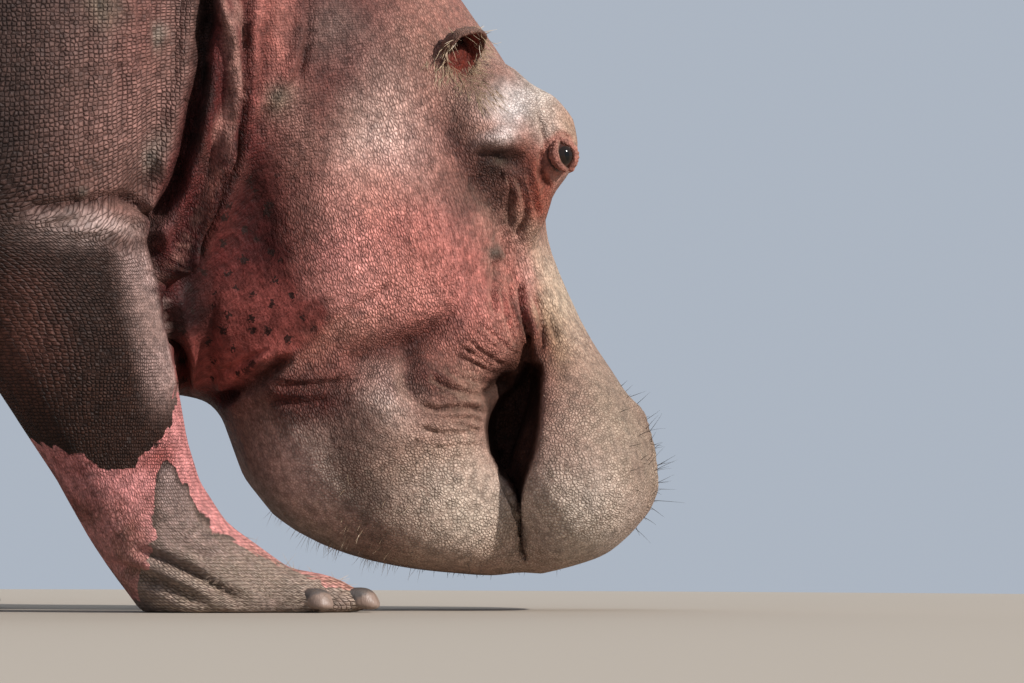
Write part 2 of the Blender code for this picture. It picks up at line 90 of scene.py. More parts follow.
def only(piece):
    nothing_selected()
    piece.select_set(True)
    bpy.context.view_layer.objects.active = piece
    return piece


def apply_all(piece):
    only(piece)
    for step in list(piece.modifiers):
        bpy.ops.object.modifier_apply(modifier=step.name)


def add_step(piece, kind, **settings):
    step = piece.modifiers.new(kind.title(), kind)
    for name, value in settings.items():
        setattr(step, name, value)
    return step


def in_edit_mode(piece, *steps):
    """Runs mesh steps, each an operator with its settings, on what is selected of the piece."""
    bpy.context.view_layer.objects.active = piece
    bpy.ops.object.mode_set(mode="EDIT")
    for operator, settings in steps:
        operator(**settings)
    bpy.ops.object.mode_set(mode="OBJECT")


WHOLE = (bpy.ops.mesh.select_all, {"action": "SELECT"})
OUTWARDS = (bpy.ops.mesh.normals_make_consistent, {"inside": False})
IN_TRIANGLES = (bpy.ops.mesh.quads_convert_to_tris, {})
CUT_IN_TWO = (bpy.ops.mesh.subdivide, {"number_cuts": 1})


def listed(rows, field, width, kind=np.float32):
    """One field of all rows of a mesh, as an array with so many numbers to a row."""
    flat = np.empty(len(rows) * width, kind)
    rows.foreach_get(field, flat)
    return flat.reshape(-1, width)


def places_of(piece):
    return listed(piece.data.vertices, "co", 3).astype(float)


def put_places(piece, places):
    piece.data.vertices.foreach_set("co", places.astype(np.float32).ravel())
    piece.data.update()


def normals_of(piece):
    return listed(piece.data.vertex_normals, "vector", 3).astype(float)


def ramp(value, start, end):
    """Eases from 0 at start to 1 at end, which may lie on either side of it."""
    t = np.clip((value - start) / (end - start), 0, 1)
    return t * t * (3 - 2 * t)


def set_group(piece, name, weights, levels=20):
    group = piece.vertex_groups.new(name=name)
    steps = np.round(np.clip(weights, 0, 1) * levels).astype(int)
    for level in range(1, levels + 1):
        group.add(np.nonzero(steps == level)[0].tolist(), level / levels, "REPLACE")
    return name


nothing_selected()
for name in UNDER_THE_HIDE:
    copy = in_scene("hide_over_" + name, frame["nodes"][name].data.copy())
    copy.select_set(True)
    in_edit_mode(copy, WHOLE, (bpy.ops.mesh.remove_doubles, {"threshold": SAME_PLACE}))
    copy.select_set(False)
for piece in [o for o in bpy.data.objects if o.name.startswith("hide_over_")]:
    piece.select_set(True)
hide = bpy.data.objects["hide_over_trunk"]
bpy.context.view_layer.objects.active = hide
bpy.ops.object.join()
hide.name = hide.data.name = "hide"
hide.data.materials.clear()
add_step(hide, "REMESH", mode="VOXEL", voxel_size=WELD_SIZE)
apply_all(hide)

# The head's own frame: along runs from between the eyes towards the nose, above towards the forehead.
HEAD_PITCH = math.radians(74)
EYE = sum(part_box("eye_right"), Vector()) / 2
EYE_LEFT = sum(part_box("eye_left"), Vector()) / 2
EYE_RADIUS = (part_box("eye_right")[1].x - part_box("eye_right")[0].x) / 2
NOSEWARD = np.array([math.cos(HEAD_PITCH), -math.sin(HEAD_PITCH)])
SKYWARD = np.array([math.sin(HEAD_PITCH), math.cos(HEAD_PITCH)])
FROM_NECK_AHEAD, FROM_NECK_UP = 0.91, 0.41
EYE_SIDE = np.array([EYE.x, EYE.z])


def side_view(places):
    return places[:, [0, 2]]


def along_head(places):
    return (side_view(places) - EYE_SIDE) @ NOSEWARD


def above_head(places):
    return (side_view(places) - EYE_SIDE) @ SKYWARD


def head_point(along, above):
    return EYE_SIDE + along * NOSEWARD + above * SKYWARD


def in_head_frame(places):
    return np.column_stack([along_head(places), above_head(places)])


def from_neck(places):
    """How far a place lies headwards of the line where the neck meets the shoulder."""
    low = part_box("neck")[0]
    return (places[:, 0] - low.x) * FROM_NECK_AHEAD - (places[:, 2] - low.z) * FROM_NECK_UP


# Easing is strong on the broad body and light on the head and the feet, which keep their detail.
places = places_of(hide)
fine_head = ramp(from_neck(places), -0.02, 0.16)
fine_feet = ramp(places[:, 2], 0.34, 0.14)
tail_low, tail_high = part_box("tail")
fine_tail = ramp(places[:, 0], tail_high.x + 0.02, tail_high.x - 0.02) * ramp(places[:, 2], 1.12, 1.05)
fine = np.maximum(np.maximum(fine_head, fine_feet), fine_tail)
set_group(hide, "broad", 1 - 0.97 * fine)
add_step(hide, "SMOOTH", factor=BODY_EASE, iterations=BODY_PASSES, vertex_group="broad")
add_step(hide, "SMOOTH", factor=HEAD_EASE, iterations=HEAD_PASSES)
apply_all(hide)
places = places_of(hide) + normals_of(hide) * ((1 - fine) * BODY_LOST_TO_EASING)[:, None]
put_places(hide, places)

# ---- Folds and furrows of the head and neck ---------------------------------------------------------
# Loose hide lies in folds where the neck turns, round the eyes and at the corners of the mouth.
# Each is a line in the side view, pressed into both sides, with a low swell along its banks.

STEPS_ON_A_LINE = 6
BANK_DISTANCE, BANK_WIDTH = 2.0, 1.15  # of a furrow's own width
FURROW_WANDER, FURROW_UNEVENNESS = 0.0016, 0.30
TOE_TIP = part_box("foreleg_right")[1].x


def in_toe_frame(places, tip=TOE_TIP):
    return side_view(places) - np.array([tip, 0])


def smooth_line(points):
    """A Catmull-Rom curve through the points."""
    points = np.array(points, float)
    ends = np.vstack([2 * points[0] - points[1], points, 2 * points[-1] - points[-2]])
    made = []
    for p, q, r, s in zip(ends, ends[1:], ends[2:], ends[3:]):
        for t in np.arange(STEPS_ON_A_LINE) / STEPS_ON_A_LINE:
            made.append(0.5 * (2 * q + (r - p) * t + (2 * p - 5 * q + 4 * r - s) * t * t
                               + (3 * q - p - 3 * r + s) * t ** 3))
    return np.array(made + [points[-1]])


def from_line(flat, line, reach):
    """For the places of a side view near a line: which they are, their distance, and how far along it."""
    near = np.all((flat > line.min(0) - reach) & (flat < line.max(0) + reach), axis=1)
    spot = flat[near]
    start, step = line[:-1], np.diff(line, axis=0)
    lengths = np.linalg.norm(step, axis=1)
    reached = np.concatenate([[0], np.cumsum(lengths)])
    offset = spot[:, None] - start
    share = np.clip((offset * step).sum(2) / (lengths ** 2), 0, 1)
    gap = offset - share[..., None] * step
    distance = np.linalg.norm(gap, axis=2)
    best = distance.argmin(1)
    rows = np.arange(len(spot))
    along = (reached[best] + share[rows, best] * lengths[best]) / reached[-1]
    return near, distance[rows, best], along


def press(flat, normals, points, depth, width, bank=0.30, ends=0.18, facing=(0.10, 0.40)):
    """How far a furrow moves the hide along its normal."""
    line = smooth_line(points)
    near, distance, along = from_line(flat, line, width * 4)
    fade = ramp(along, 0, ends) * ramp(along, 1, 1 - ends) if ends else 1
    trough = np.exp(-(distance / width) ** 2)
    swell = np.exp(-((distance - BANK_DISTANCE * width) / (BANK_WIDTH * width)) ** 2)
    moved = np.zeros(len(flat))
    moved[near] = fade * depth * (bank * swell - trough)
    return moved * ramp(np.abs(normals[:, 1]), *facing)


def swell(flat, normals, centre, radii, height, tilt=0.0):
    """How far a round swelling moves the hide along its normal."""
    turn = math.radians(tilt)
    offset = flat - np.array(centre)
    across = (offset[:, 0] * math.cos(turn) + offset[:, 1] * math.sin(turn)) / radii[0]
    up = (offset[:, 1] * math.cos(turn) - offset[:, 0] * math.sin(turn)) / radii[1]
    return height * np.exp(-(across ** 2 + up ** 2)) * ramp(np.abs(normals[:, 1]), 0.05, 0.35)


def furrow(depth, width, *points):
    """Its depth and width from tenths of a millimetre, its points from millimetres; a ridge is below 0."""
    return depth / 10000, width / 10000, np.array(points) / 1000


def swelling(first, second, half_first, half_second, rise, tilt):
    """Its middle and half sizes from millimetres, its rise from tenths of one, and its tilt in degrees."""
    return np.array((first, second)) / 1000, np.array((half_first, half_second)) / 1000, rise / 10000, tilt


# points (along, above)
HEAD_FURROWS = [furrow(*row) for row in (
    (35, 30, (-23, -1), (-27, 4), (-26, 13), (-18, 20), (-8, 23)),
    (42, 32, (-49, -12), (-39, -13), (-21, -14), (-4, -16), (12, -20)),
    (85, 40, (-15, -20), (7, -27), (27, -28), (43, -25)),
    (70, 40, (9, -57), (33, -60), (59, -64), (78, -76), (93, -89)),
    (45, 34, (10, -43), (33, -49), (53, -51), (71, -53)),
    (40, 32, (11, -33), (28, -34), (44, -33)),
    (45, 45, (10, -64), (29, -73), (54, -83), (80, -87)),
    (32, 30, (17, -50), (38, -56), (56, -57)),
    (25, 30, (-62, -16), (-49, -12), (-40, -9)),
    (110, 100, (-38, -106), (-26, -93), (-17, -75), (-10, -56), (-3, -42)),
    (50, 50, (106, -122), (128, -127), (153, -134), (180, -139)),
    (110, 32, (141, -96), (163, -99), (196, -103), (220, -106), (241, -112)),
    (50, 34, (163, -84), (184, -81), (210, -83), (233, -90), (252, -100)),
    (48, 30, (137, -110), (165, -113), (205, -116), (236, -118)),
    (34, 26, (131, -101), (166, -107), (201, -110), (229, -112)),
    (30, 30, (139, -121), (170, -124), (204, -126), (237, -125)),
    (34, 36, (174, -75), (196, -74), (219, -71), (241, -68)),
    (28, 32, (154, -74), (173, -69), (197, -63), (223, -57)),
    (56, 44, (229, -248), (238, -237), (253, -221), (265, -202), (272, -184), (273, -163)),
    (59, 40, (258, -270), (276, -248), (281, -218), (290, -197), (305, -179)),
    (46, 36, (289, -279), (306, -257), (313, -238), (317, -217), (318, -195)),
    (34, 34, (315, -275), (325, -257), (329, -236), (334, -218), (335, -199)),
    (24, 24, (298, -234), (311, -215), (320, -200)),
    (24, 26, (340, -258), (344, -232), (345, -216), (346, -198)),
    (21, 27, (360, -250), (362, -226), (363, -207), (365, -196)),
    (28, 29, (225, -225), (241, -208), (255, -187), (265, -165), (265, -146)),
    (24, 26, (211, -207), (228, -188), (245, -168), (258, -147)),
    (20, 24, (197, -187), (218, -171), (237, -154), (250, -136)),
    (20, 24, (181, -166), (207, -148), (229, -134), (245, -124)),
    (19, 24, (261, -235), (270, -219), (277, -199), (285, -179)),
    (100, 120, (169, -209), (176, -233), (188, -256), (206, -270), (230, -274), (249, -268),
         (263, -255)),
    (70, 130, (148, -176), (164, -195), (174, -221), (179, -250), (182, -288), (183, -326), (179, -361)),
    (190, 85, (142, -580), (159, -569), (172, -548), (181, -520), (182, -490), (174, -460), (161, -426),
         (154, -403)),
    (45, 45, (98, -567), (124, -548), (149, -529), (148, -502), (142, -457), (140, -420)),
    (40, 50, (184, -448), (196, -415), (205, -380), (206, -349), (200, -322)),
    (30, 50, (202, -477), (209, -446), (221, -411), (228, -377)),
    (110, 42, (365, -195), (403, -195), (435, -192), (466, -191), (502, -195)),
    (30, 60, (137, -359), (122, -325), (116, -287), (99, -252)),
    (30, 50, (317, -40), (343, -31), (372, -28), (398, -33)),
    (28, 24, (246, -245), (260, -227), (270, -205), (279, -180)),
    (28, 24, (280, -263), (290, -238), (298, -213), (310, -192)),
    (26, 24, (209, -182), (229, -166), (243, -151), (254, -136)),
    (26, 24, (204, -197), (224, -178), (242, -161), (256, -140)),
    (26, 24, (237, -220), (255, -201), (267, -177), (270, -157)),
    (26, 24, (308, -271), (319, -246), (323, -220), (326, -198)),
    (26, 24, (328, -266), (335, -243), (340, -220), (341, -199)),
)]
# along, above, and half sizes along and above
HEAD_SWELLINGS = [swelling(*row) for row in (
    (-61, -28, 14, 24, 70, 0),
    (21, -25, 20, 5, 50, 0),
    (202, -93, 42, 6, 60, -5),
    (242, -314, 36, 34, 110, 0),
    (361, -256, 50, 45, 60, 0),
    (111, -486, 70, 85, 150, 0),
    (421, -207, 50, 22, 40, 10),
    (101, -117, 8, 6, 50, 0),
    (-12, -207, 6, 6, 30, 0),
    (43, -266, 6, 5, 30, 0),
    (310, -89, 20, 18, 30, 0),
    (389, -77, 22, 18, 30, 0),
    (436, -129, 24, 20, 30, 0),
    (-44, -67, 13, 28, 90, 0),
    (-41, -308, 120, 36, 100, 0),
    (16, -83, 32, 36, -150, 0),
    (-3, -79, 18, 34, -100, 0),
    (421, -204, 55, 26, 130, 0),
    (-34, -403, 110, 30, -110, 0),
)]
# furrows of the neck and the shoulder, points (back from the tip of the right fore toe, height)
NECK_FURROWS = [furrow(*row) for row in (
    (300, 105, (-205, 845), (-206, 799), (-210, 759), (-218, 700), (-230, 628), (-244, 565), (-265, 525),
         (-286, 494)),
    (-170, 85, (-194, 845), (-183, 784), (-172, 742), (-172, 681), (-177, 622), (-193, 579), (-210, 536),
         (-235, 487), (-265, 436)),
    (120, 60, (-154, 845), (-154, 779), (-154, 713), (-160, 660), (-166, 612), (-182, 568), (-201, 525),
         (-223, 480), (-249, 430)),
    (-80, 70, (-84, 832), (-87, 779), (-91, 739), (-100, 706), (-113, 676)),
    (-130, 80, (-183, 647), (-193, 579), (-210, 536), (-235, 487), (-265, 436), (-284, 409)),
    (110, 70, (-164, 634), (-179, 568), (-198, 523), (-220, 478), (-247, 425), (-263, 396)),
    (120, 90, (-236, 594), (-252, 546), (-271, 507), (-284, 475)),
    (60, 50, (-75, 832), (-77, 779), (-79, 733), (-88, 693)),
    (45, 60, (-120, 663), (-139, 640), (-158, 607), (-178, 568)),
    (80, 140, (-128, 832), (-128, 766), (-133, 713), (-143, 667)),
    (340, 75, (-285, 535), (-281, 499), (-275, 465), (-265, 422), (-255, 376), (-244, 327), (-235, 277)),
    (40, 80, (-323, 832), (-321, 739), (-315, 673), (-310, 607)),
    (40, 55, (-309, 832), (-308, 766), (-304, 713)),
    (40, 55, (-293, 832), (-293, 752), (-290, 700)),
    (30, 50, (-276, 832), (-277, 779), (-276, 726)),
    (30, 60, (-249, 832), (-247, 739), (-244, 660), (-252, 594)),
    (30, 60, (-366, 832), (-359, 726), (-366, 647), (-355, 581)),
    (100, 80, (-445, 523), (-405, 529), (-359, 536), (-319, 540), (-296, 528), (-285, 504)),
    (50, 60, (-432, 499), (-385, 512), (-339, 515), (-310, 504), (-297, 483)),
    (30, 60, (-471, 482), (-405, 488), (-339, 486), (-305, 465)),
    (40, 60, (-350, 776), (-347, 795), (-346, 816)),
)]
NECK_SWELLINGS = [swelling(*row) for row in (
    (-346, 508, 45, 18, 100, 4),
    (-269, 597, 12, 17, 90, 0),
    (-267, 748, 9, 12, 60, 0),
    (-366, 548, 8, 8, 45, 0),
    (-354, 792, 6, 16, 65, 0),
    (-333, 791, 6, 18, 65, 0),
    (-112, 671, 13, 16, 60, 0),
    (-107, 586, 5, 5, 40, 0),
)]
# between the toes, points (back from the tip of the foot's own toe, height)
TOE_FURROWS = [furrow(*row) for row in (
    (100, 70, (-286, 70), (-234, 53), (-174, 28), (-130, 6)),
    (100, 65, (-247, 90), (-187, 66), (-125, 36), (-78, 6)),
    (90, 60, (-203, 112), (-152, 80), (-94, 46), (-36, 12)),
    (45, 50, (-190, 120), (-130, 85), (-70, 54), (-20, 30)),
)]


def ripple(places, size, seed, waves=7):
    """A gentle unevenness of about -1 to 1 with swells of about that size."""
    draw = np.random.default_rng(seed)
    total = np.zeros(len(places))
    for _ in range(waves):
        heading = draw.normal(size=3)
        heading *= 2 * math.pi / size * draw.uniform(0.6, 1.5) / np.linalg.norm(heading)
        total += np.sin(places @ heading + draw.uniform(0, 2 * math.pi))
    return total / math.sqrt(waves)


def wandering(places, height, size, seeds):
    """A gentle shift of a flat pattern, of about that height."""
    return height * np.column_stack([ripple(places, size, seed) for seed in seeds])


def own_foot(places, right, fore):
    """Where the tip of a foot lies, and which places are on that foot."""
    side = (places[:, 1] < 0) == right
    own = side & (places[:, 2] < 0.20) & ((places[:, 0] > 0) == fore) & (behind_jaw(places) < 0)
    return places[own & (places[:, 2] < 0.05), 0].max(), own.astype(float)


def behind_jaw(places):
    """Above 0 for the head, below it for the foreleg that stands beside the jaw."""
    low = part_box("head")[0]
    ahead, above = places[:, 0] - low.x, places[:, 2] - low.z
    return np.minimum(ahead + 0.02, above * 0.8 + ahead * 0.3)


def folds(places, normals):
    """How far the folds of the head and the neck move the hide along its normal."""
    wander = wandering(places, FURROW_WANDER, 0.09, (11, 12))
    uneven = np.clip(1 + FURROW_UNEVENNESS * ripple(places, 0.10, 13), 0.55, 1.35)
    on_head = in_head_frame(places) + wander
    beside_toe = in_toe_frame(places) + wander
    head_side = ramp(from_neck(places), -0.02, 0.03) * ramp(behind_jaw(places), 0.0, 0.02)
    moved = np.zeros(len(places))
    for depth, width, points in HEAD_FURROWS:
        moved += press(on_head, normals, points, depth, width) * head_side * uneven
    for centre, radii, height, tilt in HEAD_SWELLINGS:
        moved += swell(on_head, normals, centre, radii, height, tilt) * head_side
    for depth, width, points in NECK_FURROWS:
        moved += press(beside_toe, normals, points, depth, width, ends=0.10, facing=(0.02, 0.15)) * uneven
    for centre, radii, height, tilt in NECK_SWELLINGS:
        moved += swell(beside_toe, normals, centre, radii, height, tilt)
    for right, fore in ((True, True), (False, True), (True, False), (False, False)):
        tip, own = own_foot(places, right, fore)
        beside_tip = in_toe_frame(places, tip) + wander * 0.6
        for depth, width, points in TOE_FURROWS:
            moved += press(beside_tip, normals, points, depth, width, ends=0.25) * own
    return moved


# Small pleats: (centre beside the toe), (half width, half height), heading in degrees, spacing, height.
PLEATS = (
    ((-0.270, 0.720), (0.070, 0.160), 88, 0.021, 0.0016),
    ((-0.130, 0.700), (0.040, 0.110), 70, 0.016, 0.0013),
    ((-0.335, 0.520), (0.070, 0.040), 4, 0.012, 0.0012),
    ((-0.210, 0.120), (0.060, 0.040), -38, 0.013, 0.0011),
    ((-0.150, 0.060), (0.090, 0.030), -24, 0.012, 0.0016),
    ((0.045, 0.240), (0.090, 0.050), 6, 0.015, 0.0012),
)
# the same on the head, with the centre as (along, above)
HEAD_PLEATS = (
    ((0.205, -0.135), (0.055, 0.030), -80, 0.012, 0.0014),
    ((0.262, -0.205), (0.050, 0.060), 18, 0.011, 0.0013),
    ((0.330, -0.250), (0.045, 0.060), 8, 0.013, 0.0008),
    ((0.060, -0.052), (0.050, 0.022), -84, 0.009, 0.0014),
    ((-0.175, -0.120), (0.040, 0.040), 60, 0.010, 0.0012),
)


def pleated(flat, places, normals, centre, radii, heading, spacing, height, seed):
    turn = math.radians(heading)
    offset = flat - np.array(centre)
    across = offset[:, 1] * math.cos(turn) - offset[:, 0] * math.sin(turn)
    across = across + 0.35 * spacing * ripple(places, spacing * 5, seed)
    ridge = np.abs(np.sin(np.pi * across / spacing)) ** 0.6 - 0.6
    fade = np.exp(-((offset / np.array(radii)) ** 2).sum(1))
    return height * ridge * fade * ramp(np.abs(normals[:, 1]), 0.1, 0.5)


def pleats(places, normals):
    on_head = in_head_frame(places)
    beside_toe = in_toe_frame(places)
    moved = np.zeros(len(places))
    for seed, pleat in enumerate(PLEATS, 40):
        moved += pleated(beside_toe, places, normals, *pleat, seed)
    for seed, pleat in enumerate(HEAD_PLEATS, 60):
        moved += pleated(on_head, places, normals, *pleat, seed) * ramp(behind_jaw(places), 0.0, 0.02)
    return moved


# ---- Mouth and nostrils -----------------------------------------------------------------------------
# The lips hang a little open at the corner of the mouth, where the dark of the mouth shows.
# The nostrils are short slits with a raised rim, on top of the muzzle.

GAPE = np.array(((246, -121), (259, -129), (273, -146), (285, -167), (298, -185), (313, -195),
                 (331, -199), (350, -200), (367, -197), (385, -194), (405, -189), (428, -187),
                 (450, -188), (473, -191), (500, -193), (499, -187), (476, -183), (452, -179),
                 (431, -174), (412, -166), (393, -154), (373, -140), (349, -127), (322, -117),
                 (289, -106), (258, -99))) / 1000
GAPE_DEPTH, GAPE_EDGE, MOUTH_MIDDLE = 0.085, 0.011, 0.035
NOSTRIL, NOSTRIL_TURN, NOSTRIL_CURVE, NOSTRIL_RIM = (0.400, 0.078), math.radians(24), 3.0, 0.0045
NOSTRIL_HALF_LENGTH, NOSTRIL_HALF_WIDTH, NOSTRIL_DEPTH = 0.032, 0.0092, 0.021


def inside_line(flat, points):
    """How deep each place lies inside a closed outline in the side view, and 0 outside it."""
    line = smooth_line([*points, points[0]])
    near, distance, _ = from_line(flat, line, 0.03)
    spot = flat[near]
    start, end = line[:-1], line[1:]
    rising = (start[:, 1] > spot[:, None, 1]) != (end[:, 1] > spot[:, None, 1])
    slope = (end[:, 0] - start[:, 0]) / np.where(end[:, 1] == start[:, 1], 1e-9, end[:, 1] - start[:, 1])
    left = spot[:, None, 0] < slope * (spot[:, None, 1] - start[:, 1]) + start[:, 0]
    within = (rising & left).sum(1) % 2 == 1
    depth = np.zeros(len(flat))
    depth[near] = np.where(within, distance, 0)
    return depth


def opened_mouth(places):
    """The hide pulled in between the parted lips, and a rim left round them."""
    on_head = in_head_frame(places)
    depth = inside_line(on_head, GAPE)
    pull = ramp(depth, 0.0, GAPE_EDGE) * GAPE_DEPTH * (np.abs(places[:, 1]) > 0.03)
    places = places.copy()
    inner = np.maximum(np.abs(places[:, 1]) - pull, MOUTH_MIDDLE)
    places[:, 1] = np.where(pull > 0, np.sign(places[:, 1]) * inner, places[:, 1])
    return places


def opened_nostrils(places, normals):
    along, out = along_head(places) - NOSTRIL[0], np.abs(places[:, 1]) - NOSTRIL[1]
    lengthways = along * math.cos(NOSTRIL_TURN) + out * math.sin(NOSTRIL_TURN)
    across = out * math.cos(NOSTRIL_TURN) - along * math.sin(NOSTRIL_TURN) + NOSTRIL_CURVE * lengthways ** 2
    reach = np.sqrt((lengthways / NOSTRIL_HALF_LENGTH) ** 2 + (across / NOSTRIL_HALF_WIDTH) ** 2)
    on_top = ramp(normals[:, [0, 2]] @ SKYWARD, 0.2, 0.6) * ramp(above_head(places), -0.09, -0.05)
    rim = NOSTRIL_RIM * np.exp(-((reach - 1.9) / 0.8) ** 2)
    return places + normals * ((rim - NOSTRIL_DEPTH * np.exp(-reach ** 2)) * on_top)[:, None]


put_places(hide, opened_mouth(places_of(hide)))

# The mesh keeps small faces on the head, the neck and the feet, and large ones on the broad body.
HIDE_FACES = 105_000
CARE = 0.03
places = places_of(hide)
detail = np.maximum(ramp(from_neck(places), -0.30, 0.05), ramp(places[:, 2], 0.45, 0.20) * 0.8)
detail = np.maximum(detail, ramp(places[:, 0], 0.55, 0.75) * 0.7)
set_group(hide, "coarse", 1 - 0.8 * detail)
add_step(hide, "DECIMATE", ratio=HIDE_FACES / (2 * len(hide.data.polygons)), use_collapse_triangulate=True,
         vertex_group="coarse", vertex_group_factor=CARE)
apply_all(hide)

# ---- Ears -------------------------------------------------------------------------------------------
# Small round cups of skin on short stalks, open to the side and a little down, with a thick rim.
# Each is welded to its stalk, then joined to the hide so that no edge shows at its root.

EAR_HALF_WIDTH, EAR_HALF_LENGTH, EAR_DEPTH, EAR_WALL = 0.030, 0.037, 0.030, 0.0055
EAR_MIDDLE = 1.10  # of its half length above the root
STALK_MIDDLE, STALK_HALF_SIZES = (0, -0.022, 0.010), (0.023, 0.019, 0.036)
EAR_WELD = 0.0016


def ear_frame(side):
    """Where the ear sits: columns across, outwards through its opening, and up its length."""
    root = head_point(-0.132, -0.100)
    base = Vector((root[0], side * 0.146, root[1]))
    length = Vector((0.20, side * 0.46, 0.86)).normalized()
    outwards = Vector((0.60, side * 0.78, -0.30))
    outwards = (outwards - length * outwards.dot(length)).normalized()
    turn = Matrix((length.cross(outwards), outwards, length)).transposed()
    return Matrix.Translation(base) @ turn.to_4x4()


def beside_ear(places, side):
    """Places in the ear's own frame, and how far off the middle of its opening as a share of its size."""
    seat = ear_frame(side)
    in_ear = (places - np.array(seat.translation)) @ np.array(seat.to_3x3())
    return in_ear, np.hypot(in_ear[:, 0] / EAR_HALF_WIDTH, in_ear[:, 2] / EAR_HALF_LENGTH - EAR_MIDDLE)


def cup_ring(radius, depth, points=40):
    """One ring of the ear's cup: egg-shaped, narrower towards its root, its rim rolled at the top."""
    ring = []
    for k in range(points):
        turn = 2 * math.pi * k / points
        up = math.sin(turn)
        across = math.cos(turn) * radius * EAR_HALF_WIDTH * (1 + 0.12 * up)
        lift = up * radius * EAR_HALF_LENGTH
        rolled = depth + 0.10 * lift - 0.004 * math.cos(2 * turn)
        ring.append((across, rolled, EAR_HALF_LENGTH * EAR_MIDDLE + lift))
    return ring


def add_ear(side):
    shell = bmesh.new()
    outer = [(math.sin(t) ** 0.75, -EAR_DEPTH * math.cos(t)) for t in np.linspace(0.25, math.pi / 2, 9)]
    rim = [(1.02, 0.0025), (0.99, 0.0045), (0.94, 0.0035)]
    shrink = 1 - EAR_WALL / EAR_HALF_WIDTH
    inner = [(shrink * math.sin(t) ** 0.75, -(EAR_DEPTH - EAR_WALL) * math.cos(t))
             for t in np.linspace(math.pi / 2 - 0.15, 0.3, 8)]
    rows = [[shell.verts.new(spot) for spot in cup_ring(*size)] for size in outer + rim + inner]
    for row, after in zip(rows, rows[1:]):
        for k in range(len(row)):
            shell.faces.new((row[k], row[k - 1], after[k - 1], after[k]))
    shell.faces.new(rows[0])
    shell.faces.new(list(reversed(rows[-1])))
    bmesh.ops.recalc_face_normals(shell, faces=shell.faces)
    mesh = bpy.data.meshes.new("ear_cup")
    shell.to_mesh(mesh)
    shell.free()
    cup = in_scene("ear_cup", mesh)
    nothing_selected()
    bpy.ops.mesh.primitive_uv_sphere_add(segments=24, ring_count=16, radius=1, location=STALK_MIDDLE)
    stalk = bpy.context.active_object
    stalk.scale = STALK_HALF_SIZES
    bpy.ops.object.transform_apply(location=True, rotation=True, scale=True)
    cup.select_set(True)
    bpy.context.view_layer.objects.active = cup
    bpy.ops.object.join()
    add_step(cup, "REMESH", mode="VOXEL", voxel_size=EAR_WELD)
    add_step(cup, "SMOOTH", factor=0.5, iterations=6)
    apply_all(cup)
    places, normals = places_of(cup), normals_of(cup)
    wrinkled = 0.0006 * ripple(places, 0.012, 5) + 0.0010 * ripple(places, 0.03, 6)
    put_places(cup, places + normals * wrinkled[:, None])
    cup.data.transform(ear_frame(side))
    return cup


for side in (-1, 1):
    cup = add_ear(side)
    add_step(cup, "DECIMATE", ratio=0.35)
    apply_all(cup)
    add_step(hide, "BOOLEAN", operation="UNION", solver="EXACT", object=cup)
    apply_all(hide)
    bpy.data.objects.remove(cup)


def near_point(places, centre, radius):
    return np.linalg.norm(places - np.array(centre), axis=1) < radius


def choose(rows, chosen=False):
    rows.foreach_set("select", np.broadcast_to(chosen, len(rows)).astype(bool))


def in_edit_mode_near(piece, centre, radius, *steps):
    """Runs mesh steps on the part of the piece that lies round a centre."""
    only(piece)
    choose(piece.data.polygons)
    choose(piece.data.edges)
    choose(piece.data.vertices, near_point(places_of(piece), centre, radius))
    in_edit_mode(piece, (bpy.ops.mesh.select_mode, {"type": "VERT"}), *steps)


def smoother(factor, repeat):
    return bpy.ops.mesh.vertices_smooth, {"factor": factor, "repeat": repeat}


# Round the root of each ear the join is eased out.
for side in (-1, 1):
    root = ear_frame(side) @ Vector((0, -0.022, 0.004))
    in_edit_mode_near(hide, root, 0.050, (bpy.ops.mesh.remove_doubles, {"threshold": 0.0006}),
                      smoother(0.5, 4))

# Where folds will lie the mesh is cut finer, and then the folds are pressed in.
FINE_EDGE, PLAIN_EDGE, FINE_BELOW = 0.0030, 0.0500, 0.0120
REFINING_ROUNDS = 3


def wanted_edges(places):
    """How long the mesh's edges may be at each place."""
    on_head = in_head_frame(places)
    beside_toe = in_toe_frame(places)
    wanted = np.full(len(places), PLAIN_EDGE)
    for flat, furrows, kept in ((on_head, HEAD_FURROWS, from_neck(places) > 0.02),
                                (beside_toe, NECK_FURROWS, places[:, 2] > 0.38)):
        for _, width, points in furrows:
            near, distance, _ = from_line(flat, smooth_line(points), width * 3)
            goal = np.maximum(FINE_EDGE, 0.75 * width) * np.clip(distance / (2.5 * width), 1, 3)
            wanted[near] = np.where(kept[near], np.minimum(wanted[near], goal), wanted[near])
    near, distance, _ = from_line(on_head, smooth_line([*GAPE, GAPE[0]]), 0.012)
    wanted[near] = np.where(from_neck(places)[near] > 0.02, np.minimum(wanted[near], 0.004), wanted[near])
    on_feet = (places[:, 2] < 0.12) & (places[:, 2] > 0.002)
    return np.where(on_feet, 0.008, wanted)


def cut_finer(piece, wanted_at):
    places, wanted = places_of(piece), wanted_at(places_of(piece))
    first, second = listed(piece.data.edges, "vertices", 2, np.int32).T
    lengths = np.linalg.norm(places[first] - places[second], axis=1)
    only(piece)
    choose(piece.data.vertices)
    choose(piece.data.polygons)
    choose(piece.data.edges, lengths > 1.5 * np.minimum(wanted[first], wanted[second]))
    in_edit_mode(piece, (bpy.ops.mesh.select_mode, {"type": "EDGE"}), CUT_IN_TWO, WHOLE, IN_TRIANGLES)


